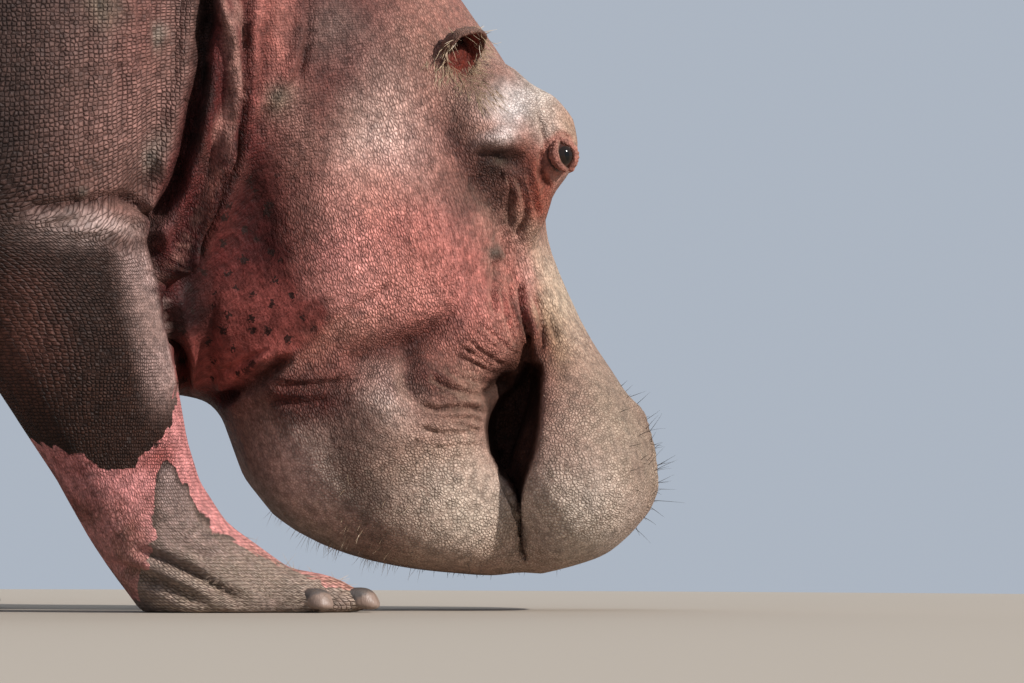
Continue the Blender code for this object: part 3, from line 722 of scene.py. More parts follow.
for cut in range(REFINING_ROUNDS):
    cut_finer(hide, wanted_edges)
    smoothed = set_group(hide, "cut_%d" % cut, 0.6 * (wanted_edges(places_of(hide)) < FINE_BELOW))
    add_step(hide, "SMOOTH", factor=0.5, iterations=1, vertex_group=smoothed)
    apply_all(hide)
places, normals = places_of(hide), normals_of(hide)
put_places(hide, places + normals * (folds(places, normals) + pleats(places, normals))[:, None])

# ---- Eyelids ----------------------------------------------------------------------------------------
# The lids are cut finer than the rest of the hide and shaped over the eyeball: a thick upper and lower
# lid with creases round them, open on a long oval through which the eye shows.

GAZE = (0.12, 0.90, 0.42)
OPENING_HALF_LENGTH, OPENING_HALF_HEIGHT = 0.86, 0.50
LID_THICKNESS, LID_RIM = 0.0036, 0.0026
# where each crease lies beside the opening, its depth and its breadth
LID_CREASES = ((-0.27, 0.0010, 0.030), (-0.46, 0.0036, 0.045), (-0.74, 0.0022, 0.045))
LID_REACH = 0.055


def eye_axes(side):
    """Unit directions noseward, outward along the gaze, and across both, in world axes."""
    noseward = Vector((NOSEWARD[0], 0, NOSEWARD[1]))
    skyward = Vector((SKYWARD[0], 0, SKYWARD[1]))
    gaze = (noseward * GAZE[0] + Vector((0, side, 0)) * GAZE[1] + skyward * GAZE[2]).normalized()
    along = (noseward - gaze * noseward.dot(gaze)).normalized()
    return along, gaze, along.cross(gaze) * side


def eye_middle(side):
    return EYE if side < 0 else EYE_LEFT


for side in (-1, 1):
    for radius in (LID_REACH, 0.042, 0.034):
        in_edit_mode_near(hide, eye_middle(side), radius, CUT_IN_TWO, smoother(0.5, 3))
    along, gaze, across = (np.array(axis) for axis in eye_axes(side))
    places = places_of(hide)
    near = np.nonzero(near_point(places, eye_middle(side), LID_REACH))[0]
    offset = places[near] - np.array(eye_middle(side))
    reach = np.linalg.norm(offset, axis=1)
    heading = offset / reach[:, None]
    s, t, facing = heading @ along, heading @ across, heading @ gaze
    opening = OPENING_HALF_HEIGHT * (1 - np.abs(s / OPENING_HALF_LENGTH) ** 2.4) - np.abs(t - 0.06 * s)
    lid = EYE_RADIUS + LID_THICKNESS + LID_RIM * np.exp(-((opening + 0.20) / 0.13) ** 2)
    for place, depth, breadth in LID_CREASES:
        lid -= depth * np.exp(-((opening - place) / breadth) ** 2) * ramp(s, 1.0, 0.6)
    notches = np.sin(np.arctan2(t, s) * 17 + 2 * ripple(places[near], 0.03, 9))
    lid += 0.0006 * notches * ramp(opening, -0.04, -0.15)
    target = lid + (EYE_RADIUS - 0.005 - lid) * ramp(opening, -0.02, 0.09)
    hold = ramp(facing, 0.10, 0.45) * ramp(reach, 0.042, 0.027)
    places[near] = np.array(eye_middle(side)) + heading * (reach * (1 - hold) + target * hold)[:, None]
    put_places(hide, places)
    in_edit_mode_near(hide, eye_middle(side), 0.034, smoother(0.4, 3))

in_edit_mode_near(hide, (0, 0, 0), 0.0, WHOLE, IN_TRIANGLES)
places, normals = places_of(hide), normals_of(hide)
put_places(hide, opened_nostrils(places, normals))

# Last, the whole is thinned by half: a little more on the left side, and not at all round the eyes.
HIDE_TRIANGLES = 196_000
LENGTH_CARE = 0.0002
near_eyes = near_point(places, EYE, 0.050) | near_point(places, EYE_LEFT, 0.050)
spare = np.where(places[:, 1] > 0, 1.0, 0.90) * ~near_eyes
set_group(hide, "spare", spare)
add_step(hide, "DECIMATE", ratio=HIDE_TRIANGLES / len(hide.data.polygons), use_collapse_triangulate=True,
         vertex_group="spare", vertex_group_factor=LENGTH_CARE)
apply_all(hide)
hide.data.validate()  # drops faces that the thinning laid on one another
bpy.ops.object.shade_smooth()

# ---- Markings of the hide ---------------------------------------------------------------------------
# Brown-grey above and on the legs, pink in the folds, on the cheeks, the throat and the forelegs.
# Pale dust lies on the face, the chin and the feet. The marks are soft ovals, painted point by point.
# Some marks are painted shade in furrows, hollows and the mouth, and painted light on lit ridges and edges.


def tint(red, green, blue):
    """A colour given as 0 to 255, as the linear values a shader takes."""
    shares = np.array([red, green, blue]) / 255
    return np.where(shares > 0.04045, ((shares + 0.055) / 1.055) ** 2.4, shares / 12.92)


DEPTH_OF_TONE = 0.86
BROWN_BACK = tint(98, 80, 73)
BROWN_SHOULDER = tint(140, 112, 104)
BROWN_LEG = tint(60, 38, 28)
PINK_BELLY = tint(166, 112, 100)
PINK_NECK = tint(104, 45, 43)
PINK_CHEEK = tint(176, 124, 112)
DUSTY_FOOT = tint(150, 134, 127)
PINK_SKIN = tint(200, 134, 131)
# painted shade inside the mouth, and the lip's inside made paler as painted light where the gape lies in
# deep shade
MOUTH_PAINTED_SHADE = tint(84, 56, 46)
LIP_INSIDE_PAINTED_LIGHT = tint(150, 100, 84)

# in the head's own frame, millimetres: along, above, half size along, half size above, colour, strength
HEAD_MARKS = (
    (-206, -261, 90, 60, (150, 138, 130), 0.95),
    (-180, -172, 60, 60, (162, 120, 108), 0.9),
    (-150, -235, 50, 50, (150, 124, 112), 0.7),
    (-80, -230, 85, 60, (236, 210, 198), 0.95),
    (-5, -245, 60, 50, (208, 156, 142), 0.9),
    # painted light: the back of the cheek, where it turns away from the light, is painted paler
    (-100, -320, 80, 40, (206, 158, 146), 0.8),
    (-62, -122, 42, 20, (80, 36, 30), 0.95),
    (-120, -80, 50, 50, (172, 148, 134), 0.8),
    # painted highlights, over pale dust, on the bony ridge behind and below the eye
    (-85, -60, 20, 18, (226, 216, 208), 0.95),
    (-75, -30, 26, 34, (240, 236, 232), 0.95),
    (-44, -64, 15, 26, (236, 226, 220), 0.95),
    (-62, -90, 12, 20, (190, 152, 136), 0.8),
    # painted shade in the hollow under that ridge
    (-10, -77, 18, 40, (34, 24, 20), 0.98),
    (30, -128, 46, 55, (96, 74, 66), 0.9),
    (64, -96, 60, 18, (96, 72, 62), 0.85),
    (-40, 4, 34, 30, (196, 152, 140), 0.9),
    (20, -20, 30, 10, (176, 90, 74), 0.8),
    (110, -160, 66, 60, (200, 126, 118), 0.9),
    (69, -271, 90, 70, (230, 162, 152), 0.5),
    (60, -230, 60, 50, (196, 124, 114), 0.8),
    (110, -262, 60, 70, (212, 150, 138), 0.9),
    (-10, -337, 110, 30, (142, 100, 92), 0.7),
    (140, -320, 36, 40, (188, 142, 126), 0.85),
    (152, -480, 24, 60, (176, 112, 100), 0.6),
    (160, -534, 30, 60, (178, 116, 104), 0.7),
    (140, -420, 24, 60, (176, 118, 98), 0.6),
    (190, -340, 26, 80, (140, 78, 70), 0.8),
    (190, -270, 32, 50, (96, 46, 40), 0.9),
    (269, -222, 50, 60, (160, 122, 106), 0.9),
    (250, -315, 42, 40, (240, 214, 200), 0.95),
    (240, -460, 80, 60, (158, 140, 128), 0.95),
    (345, -414, 80, 110, (232, 220, 206), 0.95),
    (330, -290, 40, 70, (170, 136, 118), 0.8),
    (420, -250, 80, 100, (226, 212, 196), 0.95),
    (170, -45, 110, 40, (226, 210, 186), 0.95),
    (230, -80, 50, 20, (186, 162, 126), 0.8),
    (349, -60, 90, 60, (164, 138, 124), 0.95),
    (340, -20, 90, 30, (170, 152, 134), 0.8),
    (472, -98, 80, 85, (234, 222, 208), 0.95),
    (160, -116, 50, 20, (196, 120, 108), 0.95),
    (192, -92, 46, 9, (182, 106, 102), 1.0),
    (196, -104, 40, 5, (66, 28, 24), 1.0),
    (130, -85, 30, 10, (206, 158, 146), 0.9),
    (-120, 0, 110, 20, (222, 214, 200), 0.9),
    (-30, 24, 40, 14, (186, 162, 134), 0.6),
    (420, 30, 90, 55, (150, 134, 118), 0.95),
    (46, -40, 60, 22, (150, 70, 52), 0.95),
    # painted shade in the valley between the throat and the chin
    (318, -378, 85, 36, (88, 60, 52), 0.9),
    (341, -354, 60, 26, (104, 76, 68), 0.7),
    # painted shadow on the jaw below the lower edge of the jowl
    (234, -380, 28, 30, (88, 48, 44), 0.8),
    (202, -430, 34, 42, (96, 44, 38), 0.85),
    # painted shade in the furrow above the corner of the mouth
    (232, -256, 18, 40, (92, 58, 52), 0.8),
    (261, -241, 24, 24, (100, 70, 62), 0.8),
    (138, -126, 36, 14, (132, 88, 80), 0.7),
    (61, -317, 40, 28, (238, 166, 162), 0.7),
    (48, -371, 36, 24, (118, 60, 58), 0.7),
    (-196, -202, 42, 36, (120, 96, 90), 0.8),
    (83, -305, 45, 42, (232, 170, 160), 0.85),
    (278, -221, 30, 30, (128, 92, 80), 0.6),
    # painted shade in the furrow above the corner of the mouth
    (227, -245, 30, 34, (104, 62, 56), 0.7),
    # painted shadow on the jaw below the lower edge of the jowl
    (224, -400, 30, 40, (92, 44, 38), 0.7),
    (103, -119, 11, 9, (84, 80, 74), 0.95),
    (110, -119, 4, 3, (26, 22, 20), 0.9),
    # painted shade: the lit wall of a recess at the corner of the mouth is painted dark
    (281, -178, 9, 7, (58, 40, 35), 1.0),
)
# back from the tip of the right fore toe and up from the ground, in millimetres, in the same order
BODY_MARKS = (
    # pink streak on the neck, made paler as painted light where the neck lies in shade
    (-122, 760, 26, 90, (220, 152, 140), 0.9),
    # painted highlight along the crest of the neck roll
    (-170, 740, 8, 120, (190, 150, 138), 0.9),
    (-181, 640, 7, 60, (206, 156, 144), 0.9),
    (-205, 555, 10, 50, (190, 130, 116), 0.9),
    # painted shade in the groove beside the neck roll
    (-212, 690, 10, 180, (52, 32, 28), 0.9),
    (-180, 520, 20, 60, (92, 46, 42), 0.8),
    (-41, 768, 50, 60, (136, 114, 106), 0.9),
    # painted light on the neck behind the cheek, where it turns away from the light
    (-84, 620, 34, 75, (156, 122, 112), 0.85),
    # painted shade over the darker brown on top of the shoulder
    (-480, 850, 150, 130, (56, 45, 41), 0.85),
    (-345, 605, 70, 80, (144, 112, 104), 0.75),
    (-290, 760, 40, 100, (134, 92, 84), 0.6),
    # painted shade on the left of the shoulder and upper foreleg, turned away from the light
    (-482, 600, 100, 210, (34, 24, 20), 0.92),
    # painted shadow in the notch of the fold at the elbow
    (-300, 560, 16, 22, (76, 52, 46), 0.7),
    # painted highlight on the top of the fold at the elbow
    (-356, 506, 60, 18, (230, 208, 200), 0.9),
    (-269, 597, 14, 19, (150, 140, 130), 0.95),
    (-270, 598, 3, 5, (50, 42, 38), 0.9),
    (-267, 748, 10, 13, (150, 140, 130), 0.9),
    (-366, 548, 8, 8, (136, 126, 116), 0.9),
    (-343, 792, 18, 20, (138, 126, 112), 0.9),
    (-343, 792, 3, 20, (40, 32, 28), 0.8),
    (-267, 746, 8, 10, (132, 122, 110), 0.8),
    (-108, 668, 18, 20, (150, 138, 122), 0.9),
    (-107, 673, 3, 10, (46, 36, 30), 0.8),
    # painted shade on the left of the forearm, turned away from the light
    (-370, 420, 60, 110, (56, 41, 35), 0.85),
    (-450, 360, 50, 80, (116, 78, 68), 0.7),
)
# the smooth pink of the jowl, whose dark is partly painted shade, and the front edge of the right foreleg
# where the neck meets it
JOWL = np.array(((37, -564), (-16, -508), (-79, -441), (-129, -376), (-135, -350), (-81, -352),
                 (-21, -359), (45, -368), (74, -352), (110, -331), (140, -346), (157, -392), (163, -421),
                 (175, -463), (183, -496), (178, -549), (159, -592))) / 1000
LEG_FRONT = np.array(((-290, 525), (-286, 499), (-280, 465), (-272, 429), (-263, 376), (-251, 327),
                      (-242, 280), (-234, 238))) / 1000
# where the pink of the foreleg begins, as heights at places behind the toe tip
PINK_EDGE = np.array(((-520, 235), (-445, 226), (-412, 216), (-379, 211), (-356, 196), (-329, 182),
                      (-304, 185), (-286, 209), (-264, 227), (-252, 257), (-243, 300), (-232, 340),
                      (-180, 345))) / 1000
# the outline of the grey patch that runs up the front of the foreleg
GREY_EDGE = np.array(((-300, 0), (-296, 40), (-283, 70), (-274, 106), (-276, 145), (-273, 180),
                      (-258, 197), (-243, 184), (-233, 162), (-214, 132), (-196, 110), (-150, 80),
                      (-80, 50), (-30, 30), (60, 20), (60, -20), (-300, -20))) / 1000


def part_shares(places, faces_of):
    """For each part of the flesh, how much each place of the hide belongs to it."""
    corners, faces, owners = [], [], []
    for name in faces_of:
        mesh = frame["nodes"][name].data
        first = len(corners)
        corners += [vertex.co.copy() for vertex in mesh.vertices]
        faces += [[first + k for k in face.vertices] for face in mesh.polygons]
        owners += [name] * len(mesh.polygons)
    tree = BVHTree.FromPolygons(corners, faces)
    nearest = [owners[tree.find_nearest(Vector(place))[2]] for place in places]
    return {name: np.array([owner == name for owner in nearest], float) for name in faces_of}


def spread(piece, values, passes):
    """Ease values out over the mesh, each towards its neighbours' mean."""
    ends = listed(piece.data.edges, "vertices", 2, np.int32)
    first, second = ends.T
    count = np.bincount(ends.ravel(), minlength=len(values))
    for _ in range(passes):
        total = np.bincount(first, values[second], len(values))
        total = total + np.bincount(second, values[first], len(values))
        values = 0.5 * values + 0.5 * total / np.maximum(count, 1)
    return values


def paint(colours, flat, mark, mask):
    """One soft oval of colour laid over the colours."""
    *sizes, colour, strength = mark
    middle, half_sizes = np.array(sizes[:2]) / 1000, np.array(sizes[2:]) / 1000
    share = np.exp(-(((flat - middle) / half_sizes) ** 2).sum(1) * 0.9) * strength * mask
    return colours + (tint(*colour) - colours) * share[:, None]


def keep_values(piece, name, values, kind="FLOAT"):
    made = piece.data.attributes.new(name, kind, "POINT")
    field = {"FLOAT": "value", "FLOAT_VECTOR": "vector", "FLOAT_COLOR": "color"}[kind]
    made.data.foreach_set(field, np.ascontiguousarray(values, np.float32).ravel())


places, normals = places_of(hide), normals_of(hide)
parts = part_shares(places, [*FLESH, *EARS])
parts = {name: spread(hide, share, 6) for name, share in parts.items()}
on_head = in_head_frame(places)
wander = wandering(places, 0.012, 0.08, (21, 22))
beside_toe = in_toe_frame(places)
foreleg = parts["foreleg_right"] + parts["foreleg_left"]
hindleg = parts["hindleg_right"] + parts["hindleg_left"]
legs = foreleg + hindleg
ears = parts["ear_right"] + parts["ear_left"]
height = places[:, 2]

tone = np.tile(BROWN_BACK, (len(places), 1))


def lay_over(colour, share):
    global tone
    tone = tone + (colour - tone) * np.clip(share, 0, 1)[:, None]


lay_over(BROWN_SHOULDER, ramp(height, 1.15, 0.75) * ramp(places[:, 0], -1.3, 0.3))
lay_over(PINK_BELLY, ramp(height, 0.62, 0.40) * (1 - legs))
leg_line = np.array(LEG_FRONT)[::-1]
ahead_of_leg = beside_toe[:, 0] - np.interp(height, leg_line[:, 1], leg_line[:, 0])
beside_leg = (places[:, 1] < 0) * ramp(height, 0.27, 0.30) * ramp(height, 0.53, 0.50)
beside_leg = beside_leg * (beside_toe[:, 0] < -0.10)
legs = legs * (1 - beside_leg) + beside_leg * ramp(ahead_of_leg, 0.004, -0.004)
lay_over(PINK_NECK, np.clip(parts["neck"] + beside_leg * ramp(ahead_of_leg, -0.004, 0.004), 0, 1)
         * ramp(height, 0.99, 0.84)
         * (1 - beside_leg * ramp(ahead_of_leg, 0.004, -0.004)))
lay_over(PINK_CHEEK, parts["head"])
lay_over(BROWN_LEG, legs * ramp(height, 0.56, 0.44))
lay_over(DUSTY_FOOT, ramp(height, 0.16, 0.05) * legs)
for mark in HEAD_MARKS:
    tone = paint(tone, on_head + wander * 0.5, mark, parts["head"])
jowl = ramp(inside_line(on_head + wander * 0.4, JOWL), 0.0, 0.028)
jowl *= np.clip(parts["head"] + parts["neck"] + beside_leg, 0, 1)
jowl *= 1 - beside_leg * ramp(ahead_of_leg, 0.0, -0.004)
# Over the pink of the jowl: painted shade, darkest at its back; lighter towards the front, and painted light
# where its lower edge turns to the light.
lay_over(tint(92, 38, 37), jowl)
lay_over(tint(138, 76, 70), jowl * ramp(on_head[:, 0], 0.00, 0.08))
lay_over(tint(190, 112, 102), jowl * ramp(on_head[:, 0], 0.11, 0.17))
lay_over(tint(50, 22, 22), jowl * ramp(on_head[:, 1], -0.46, -0.52) * ramp(on_head[:, 0], 0.115, 0.075))
# painted highlight along the crest of the neck roll
near, distance, _ = from_line(beside_toe, smooth_line(NECK_FURROWS[1][2]), 0.02)
painted_lit_crest = np.zeros(len(places))
painted_lit_crest[near] = ramp(distance, 0.0080, 0.0015)
lay_over(tint(206, 162, 148), painted_lit_crest * 0.6 * ramp(height, 0.40, 0.45))
for mark in BODY_MARKS:
    tone = paint(tone, beside_toe + wander * 0.5, mark, 1 - parts["head"])
# painted light along the lit front edge of the right foreleg
painted_lit_leg_edge = ramp(ahead_of_leg, -0.060, -0.018) * ramp(ahead_of_leg, 0.003, -0.003)
painted_lit_leg_edge = painted_lit_leg_edge * foreleg * (places[:, 1] < 0)
lay_over(tint(176, 152, 145), 0.90 * painted_lit_leg_edge * ramp(height, 0.24, 0.30) * ramp(height, 0.54, 0.50))
lay_over(tint(120, 88, 76), ears)
for side in (-1, 1):
    in_ear, off_centre = beside_ear(places, side)
    facing = normals @ np.array(ear_frame(side).to_3x3().col[1])
    cup = ears * ramp(off_centre, 1.02, 0.80) * ramp(facing, -0.2, 0.3) * ramp(in_ear[:, 1], -0.034, -0.028)
    lay_over(tint(118, 54, 42), cup)
    lay_over(tint(44, 20, 16), cup * ramp(off_centre, 0.75, 0.30) * ramp(in_ear[:, 1], -0.008, -0.020))
inner_mouth = ramp(inside_line(on_head, GAPE), 0.0004, 0.0050) * ramp(behind_jaw(places), 0, 0.02)
deep = ramp(np.abs(places[:, 1]), 0.165, 0.125)
deep *= ramp(on_head[:, 0], 0.18, 0.24) * ramp(on_head[:, 0], 0.40, 0.37)
deep *= ramp(on_head[:, 1], -0.26, -0.20) * ramp(on_head[:, 1], -0.06, -0.10)
inner_mouth = np.maximum(inner_mouth, deep)
# Inside the mouth: painted shade, lifted with painted light at the top of the gape.
lay_over(MOUTH_PAINTED_SHADE, inner_mouth)
lay_over(LIP_INSIDE_PAINTED_LIGHT, inner_mouth * ramp(on_head[:, 0], 0.27, 0.21))
eye_ring, lids = np.zeros(len(places)), np.zeros(len(places))
for side in (-1, 1):
    offset = places - np.array(eye_middle(side))
    reach = np.linalg.norm(offset, axis=1)
    eye_ring = np.maximum(eye_ring, ramp(reach, EYE_RADIUS + 0.0034, EYE_RADIUS + 0.0005))
    lids = np.maximum(lids, ramp(reach, 0.040, 0.028))
    lay_over(tint(164, 104, 90), ramp(reach, 0.036, 0.026) * 0.8)
lay_over(tint(74, 46, 40), eye_ring)
# painted shade: the tone darkens where the folds press the hide in
painted_furrow_shade = ramp(folds(places, normals), -0.0015, -0.0080)
lay_over(tone * np.array([0.42, 0.33, 0.32]), painted_furrow_shade * 0.75)

# The pink of the forelegs ends along a sharp, ragged edge, so its distance is kept and not its colour.
NOT_PINK = -0.05
ragged = wandering(places, 0.0045, 0.022, (31, 32))
heights = np.interp(beside_toe[:, 0] + ragged[:, 0], *np.array(PINK_EDGE).T)
right_pink = heights - height + ragged[:, 1]
grey_depth = inside_line(beside_toe + ragged, GREY_EDGE)
near_grey, distance, _ = from_line(beside_toe + ragged, smooth_line([*GREY_EDGE, GREY_EDGE[0]]), 0.03)
gap = np.full(len(places), 0.05)
gap[near_grey] = distance
right_pink = np.minimum(right_pink, np.where(grey_depth > 0, -grey_depth, gap))
right_pink = np.where(parts["foreleg_right"] > 0.3, right_pink, NOT_PINK)
right_pink = np.where(beside_leg * ramp(ahead_of_leg, -0.004, 0.0) > 0.5, NOT_PINK, right_pink)
inner_pink = 0.10 - np.hypot(np.abs(places[:, 1]) - 0.12, (height - 0.30) * 0.7) - 0.04
left_pink = np.where(parts["foreleg_left"] > 0.3, inner_pink + ragged[:, 0], NOT_PINK)
keep_values(hide, "pink_edge", np.maximum(right_pink, left_pink))
grey_patch = ramp(grey_depth, 0.0, 0.012) * parts["foreleg_right"]
lay_over(tint(156, 136, 130), grey_patch * ramp(height, 0.05, 0.09))

# How the skin is cracked: woven in squares, in long scales, in fine lines, or pebbled.
side_on = ramp(np.abs(normals[:, 1]), 0.25, 0.60)
head = parts["head"]
woven = np.clip((1 - head - ears - 0.6 * parts["neck"]) * (side_on + legs), 0, 1)


def oval(centre, radii):
    return np.exp(-(((on_head - np.array(centre)) / np.array(radii)) ** 2).sum(1))


smooth_pink = ramp(np.maximum(right_pink, left_pink), -0.002, 0.004)
smooth_pink *= ramp(beside_toe[:, 0], -0.270, -0.300)
mid_cheek = oval((0.085, -0.150), (0.120, 0.080)) * head
woven *= (1 - 0.80 * smooth_pink) * (1 - 0.9 * jowl)
near, distance, _ = from_line(beside_toe, smooth_line(LEG_FRONT), 0.04)
woven[near] *= 1 - 0.75 * ramp(distance, 0.026, 0.012) * (height[near] > 0.28)
pebbled = np.clip(ramp(on_head[:, 0], 0.235, 0.320) + oval((-0.06, -0.02), (0.10, 0.05)), 0, 1) * head
scaled = np.clip(1 - woven - pebbled, 0, 1) * (1 - 0.92 * jowl) * (1 - 0.55 * mid_cheek) * (1 - 0.5 * ears)
scaled *= 1 - 0.85 * lids
lined = np.clip(jowl + 0.8 * smooth_pink + mid_cheek + 0.3 * head + 0.5 * parts["neck"], 0, 1)
keep_values(hide, "skin_kind", np.column_stack([woven, scaled, lined, pebbled]), "FLOAT_COLOR")
spotted = np.clip(jowl * 1.1 + 0.35 * smooth_pink, 0, 1)
dusty = ramp(on_head[:, 0], 0.24, 0.44) * head * (1 - inner_mouth) + legs * ramp(height, 0.20, 0.02) \
    + 0.5 * ramp(normals[:, [0, 2]] @ SKYWARD, 0.3, 0.9) * head + 0.2 * ramp(normals[:, 2], 0.3, 0.9)
dusty *= 1 - 0.8 * np.maximum(jowl, inner_mouth)
marks = [spotted, np.clip(dusty, 0, 1), eye_ring, np.ones(len(places))]
keep_values(hide, "marks", np.column_stack(marks), "FLOAT_COLOR")
tone = DEPTH_OF_TONE * tone ** 1.10
keep_values(hide, "tone", np.column_stack([np.clip(tone, 0, 1), np.ones(len(places))]), "FLOAT_COLOR")

# The woven pattern runs along the body and wraps round each leg.
BODY_WRAP, BODY_AXIS = 0.45, 0.80
LEG_WRAP, LEG_WEAVE, LEG_TOP = 0.105, 1.35, 0.06
around_body = BODY_WRAP * np.arctan2(height - BODY_AXIS, np.abs(places[:, 1]))
lay = np.column_stack([places[:, 0], around_body, 0 * height])
for name in ("foreleg_right", "foreleg_left", "hindleg_right", "hindleg_left"):
    low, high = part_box(name)
    own = parts[name] > 0.5
    line = np.polyfit(height[own], places[own, 0], 3)
    middle_x = np.polyval(line, np.clip(height, 0, high.z))
    middle_y = (low.y + high.y) / 2
    top_x = np.polyval(line, high.z - LEG_TOP)
    outward = (places[:, 1] - middle_y) * math.copysign(1, middle_y)
    wrapped = LEG_WRAP * np.arctan2(places[:, 0] - middle_x, outward)
    top = BODY_WRAP * math.atan2(high.z - LEG_TOP - BODY_AXIS, 0.36)
    around = top_x + wrapped * LEG_WEAVE
    down = top + (height - high.z + LEG_TOP) * LEG_WEAVE
    share = spread(hide, parts[name], 12)[:, None]
    lay = lay * (1 - share) + np.column_stack([around, down, 0 * height]) * share
keep_values(hide, "lay", lay, "FLOAT_VECTOR")

# ---- The material of the hide -----------------------------------------------------------------------
# Dry bare skin. Fine cracks part it into small plates: woven squares on the shoulders and legs, longer
# pebbles on the head, fine lines where it is smooth. Cracks are darker, partly painted shade; dust on top.

JOWL_SLOPE = math.radians(38)
CLOUD_SHADES = ((0.76, 1.26), (0.72, 1.26), (0.70, 1.28))
# size of a plate, disorder, width of a crack as a share of the plate, and waver
WEAVE = (0.0062, 0.45, 0.34, 0.0045)
SCALES = (0.0034, 0.90, 0.42, 0.0050)
PEBBLES = (0.0043, 1.0, 0.36, 0.0040)
PLATE_SETTINGS = ("Lay", "Cell", "Disorder", "Crack", "Waver")
# the colour in a crack is partly the skin's own darker tone, partly painted shade
CRACK_TONE_AND_SHADE, ON_A_PALE_PLATE, MOTTLED = (0.30, 0.20, 0.18, 1), (1.9, 1.75, 1.7, 1), (0.50, 0.52, 0.56, 1)
# heights in metres
WOVEN_RELIEF, SCALED_RELIEF, PEBBLED_RELIEF, LINED_RELIEF = -0.0029, -0.0021, -0.0016, -0.0006
GRAIN_RELIEF, FLECK_RELIEF, WRINKLE_RELIEF = 0.0003, 0.0020, 0.0040


def add(tree, kind, inputs=None, **settings):
    made = tree.nodes.new(kind)
    for name, value in settings.items():
        setattr(made, name, value)
    for name, value in (inputs or {}).items():
        if isinstance(value, bpy.types.NodeSocket):
            tree.links.new(value, made.inputs[name])
        else:
            made.inputs[name].default_value = value
    return made


def maths(tree, operation, first, second=0.0, clamp=False):
    made = add(tree, "ShaderNodeMath", {0: first, 1: second}, operation=operation, use_clamp=clamp)
    return made.outputs[0]


def vector_maths(tree, operation, inputs, output=0):
    return add(tree, "ShaderNodeVectorMath", inputs, operation=operation).outputs[output]


def eased(tree, value, start, end, low=0.0, high=1.0):
    made = add(tree, "ShaderNodeMapRange", {"Value": value, "From Min": start, "From Max": end,
                                            "To Min": low, "To Max": high}, interpolation_type="SMOOTHSTEP")
    return made.outputs["Result"]


def blended(tree, share, first, second, mode="MIX"):
    made = add(tree, "ShaderNodeMix", {0: share, 6: first, 7: second}, data_type="RGBA", blend_type=mode)
    return made.outputs[2]


def new_group(name, inputs, outputs):
    tree = bpy.data.node_groups.new(name, "ShaderNodeTree")
    for label, kind, value in inputs:
        socket = tree.interface.new_socket(label, in_out="INPUT", socket_type="NodeSocket" + kind)
        if value is not None:
            socket.default_value = value
    for label, kind in outputs:
        tree.interface.new_socket(label, in_out="OUTPUT", socket_type="NodeSocket" + kind)
    return tree, tree.nodes.new("NodeGroupInput").outputs, tree.nodes.new("NodeGroupOutput").inputs


def noise(tree, where, scale, detail, roughness=0.5):
    return add(tree, "ShaderNodeTexNoise", {"Vector": where, "Scale": scale, "Detail": detail,
                                            "Roughness": roughness}).outputs[0]


def kept(tree, name, output):
    return add(tree, "ShaderNodeAttribute", attribute_name=name).outputs[output]


def in_body(tree):
    return add(tree, "ShaderNodeTexCoord").outputs["Object"]


def in_relief(tree, shader, height):
    """The shader's bump, from a height in metres."""
    bump = add(tree, "ShaderNodeBump", {"Strength": 1.0, "Distance": 1.0, "Height": height})
    tree.links.new(bump.outputs[0], shader.inputs["Normal"])


def new_material(name, **constants):
    """A new material with its node tree and its shader, whose plain settings are given by name."""
    made = bpy.data.materials.new(name)
    made.use_nodes = True
    shader = made.node_tree.nodes["Principled BSDF"]
    for setting, value in constants.items():
        shader.inputs[setting.replace("_", " ")].default_value = value
    return made, made.node_tree, shader


def cracked_plates():
    """Cells parted by cracks: how far up on a plate each place is, and a shade for each plate."""
    tree, given, made = new_group("cracked_plates", [
        ("Lay", "Vector", None), ("Cell", "Float", 0.008), ("Disorder", "Float", 0.5),
        ("Crack", "Float", 0.2), ("Waver", "Float", 0.002)], [("Plate", "Float"), ("Shade", "Float")])
    waver = add(tree, "ShaderNodeTexNoise", {"Vector": given["Lay"], "Scale": 34, "Detail": 2})
    pushed = vector_maths(tree, "SUBTRACT", {0: waver.outputs["Color"], 1: (0.5, 0.5, 0.5)})
    pushed = vector_maths(tree, "SCALE", {0: pushed, "Scale": given["Waver"]})
    spot = vector_maths(tree, "ADD", {0: given["Lay"], 1: pushed})
    scale = maths(tree, "DIVIDE", 1.0, given["Cell"])
    laid = {"Vector": spot, "Scale": scale, "Randomness": given["Disorder"]}
    edge = add(tree, "ShaderNodeTexVoronoi", laid, feature="DISTANCE_TO_EDGE").outputs["Distance"]
    cell = add(tree, "ShaderNodeTexVoronoi", laid, feature="F1").outputs["Color"]
    share = maths(tree, "DIVIDE", edge, given["Crack"], clamp=True)
    tree.links.new(maths(tree, "POWER", share, 0.6), made["Plate"])
    tree.links.new(add(tree, "ShaderNodeSeparateColor", {0: cell}).outputs[0], made["Shade"])
    return tree


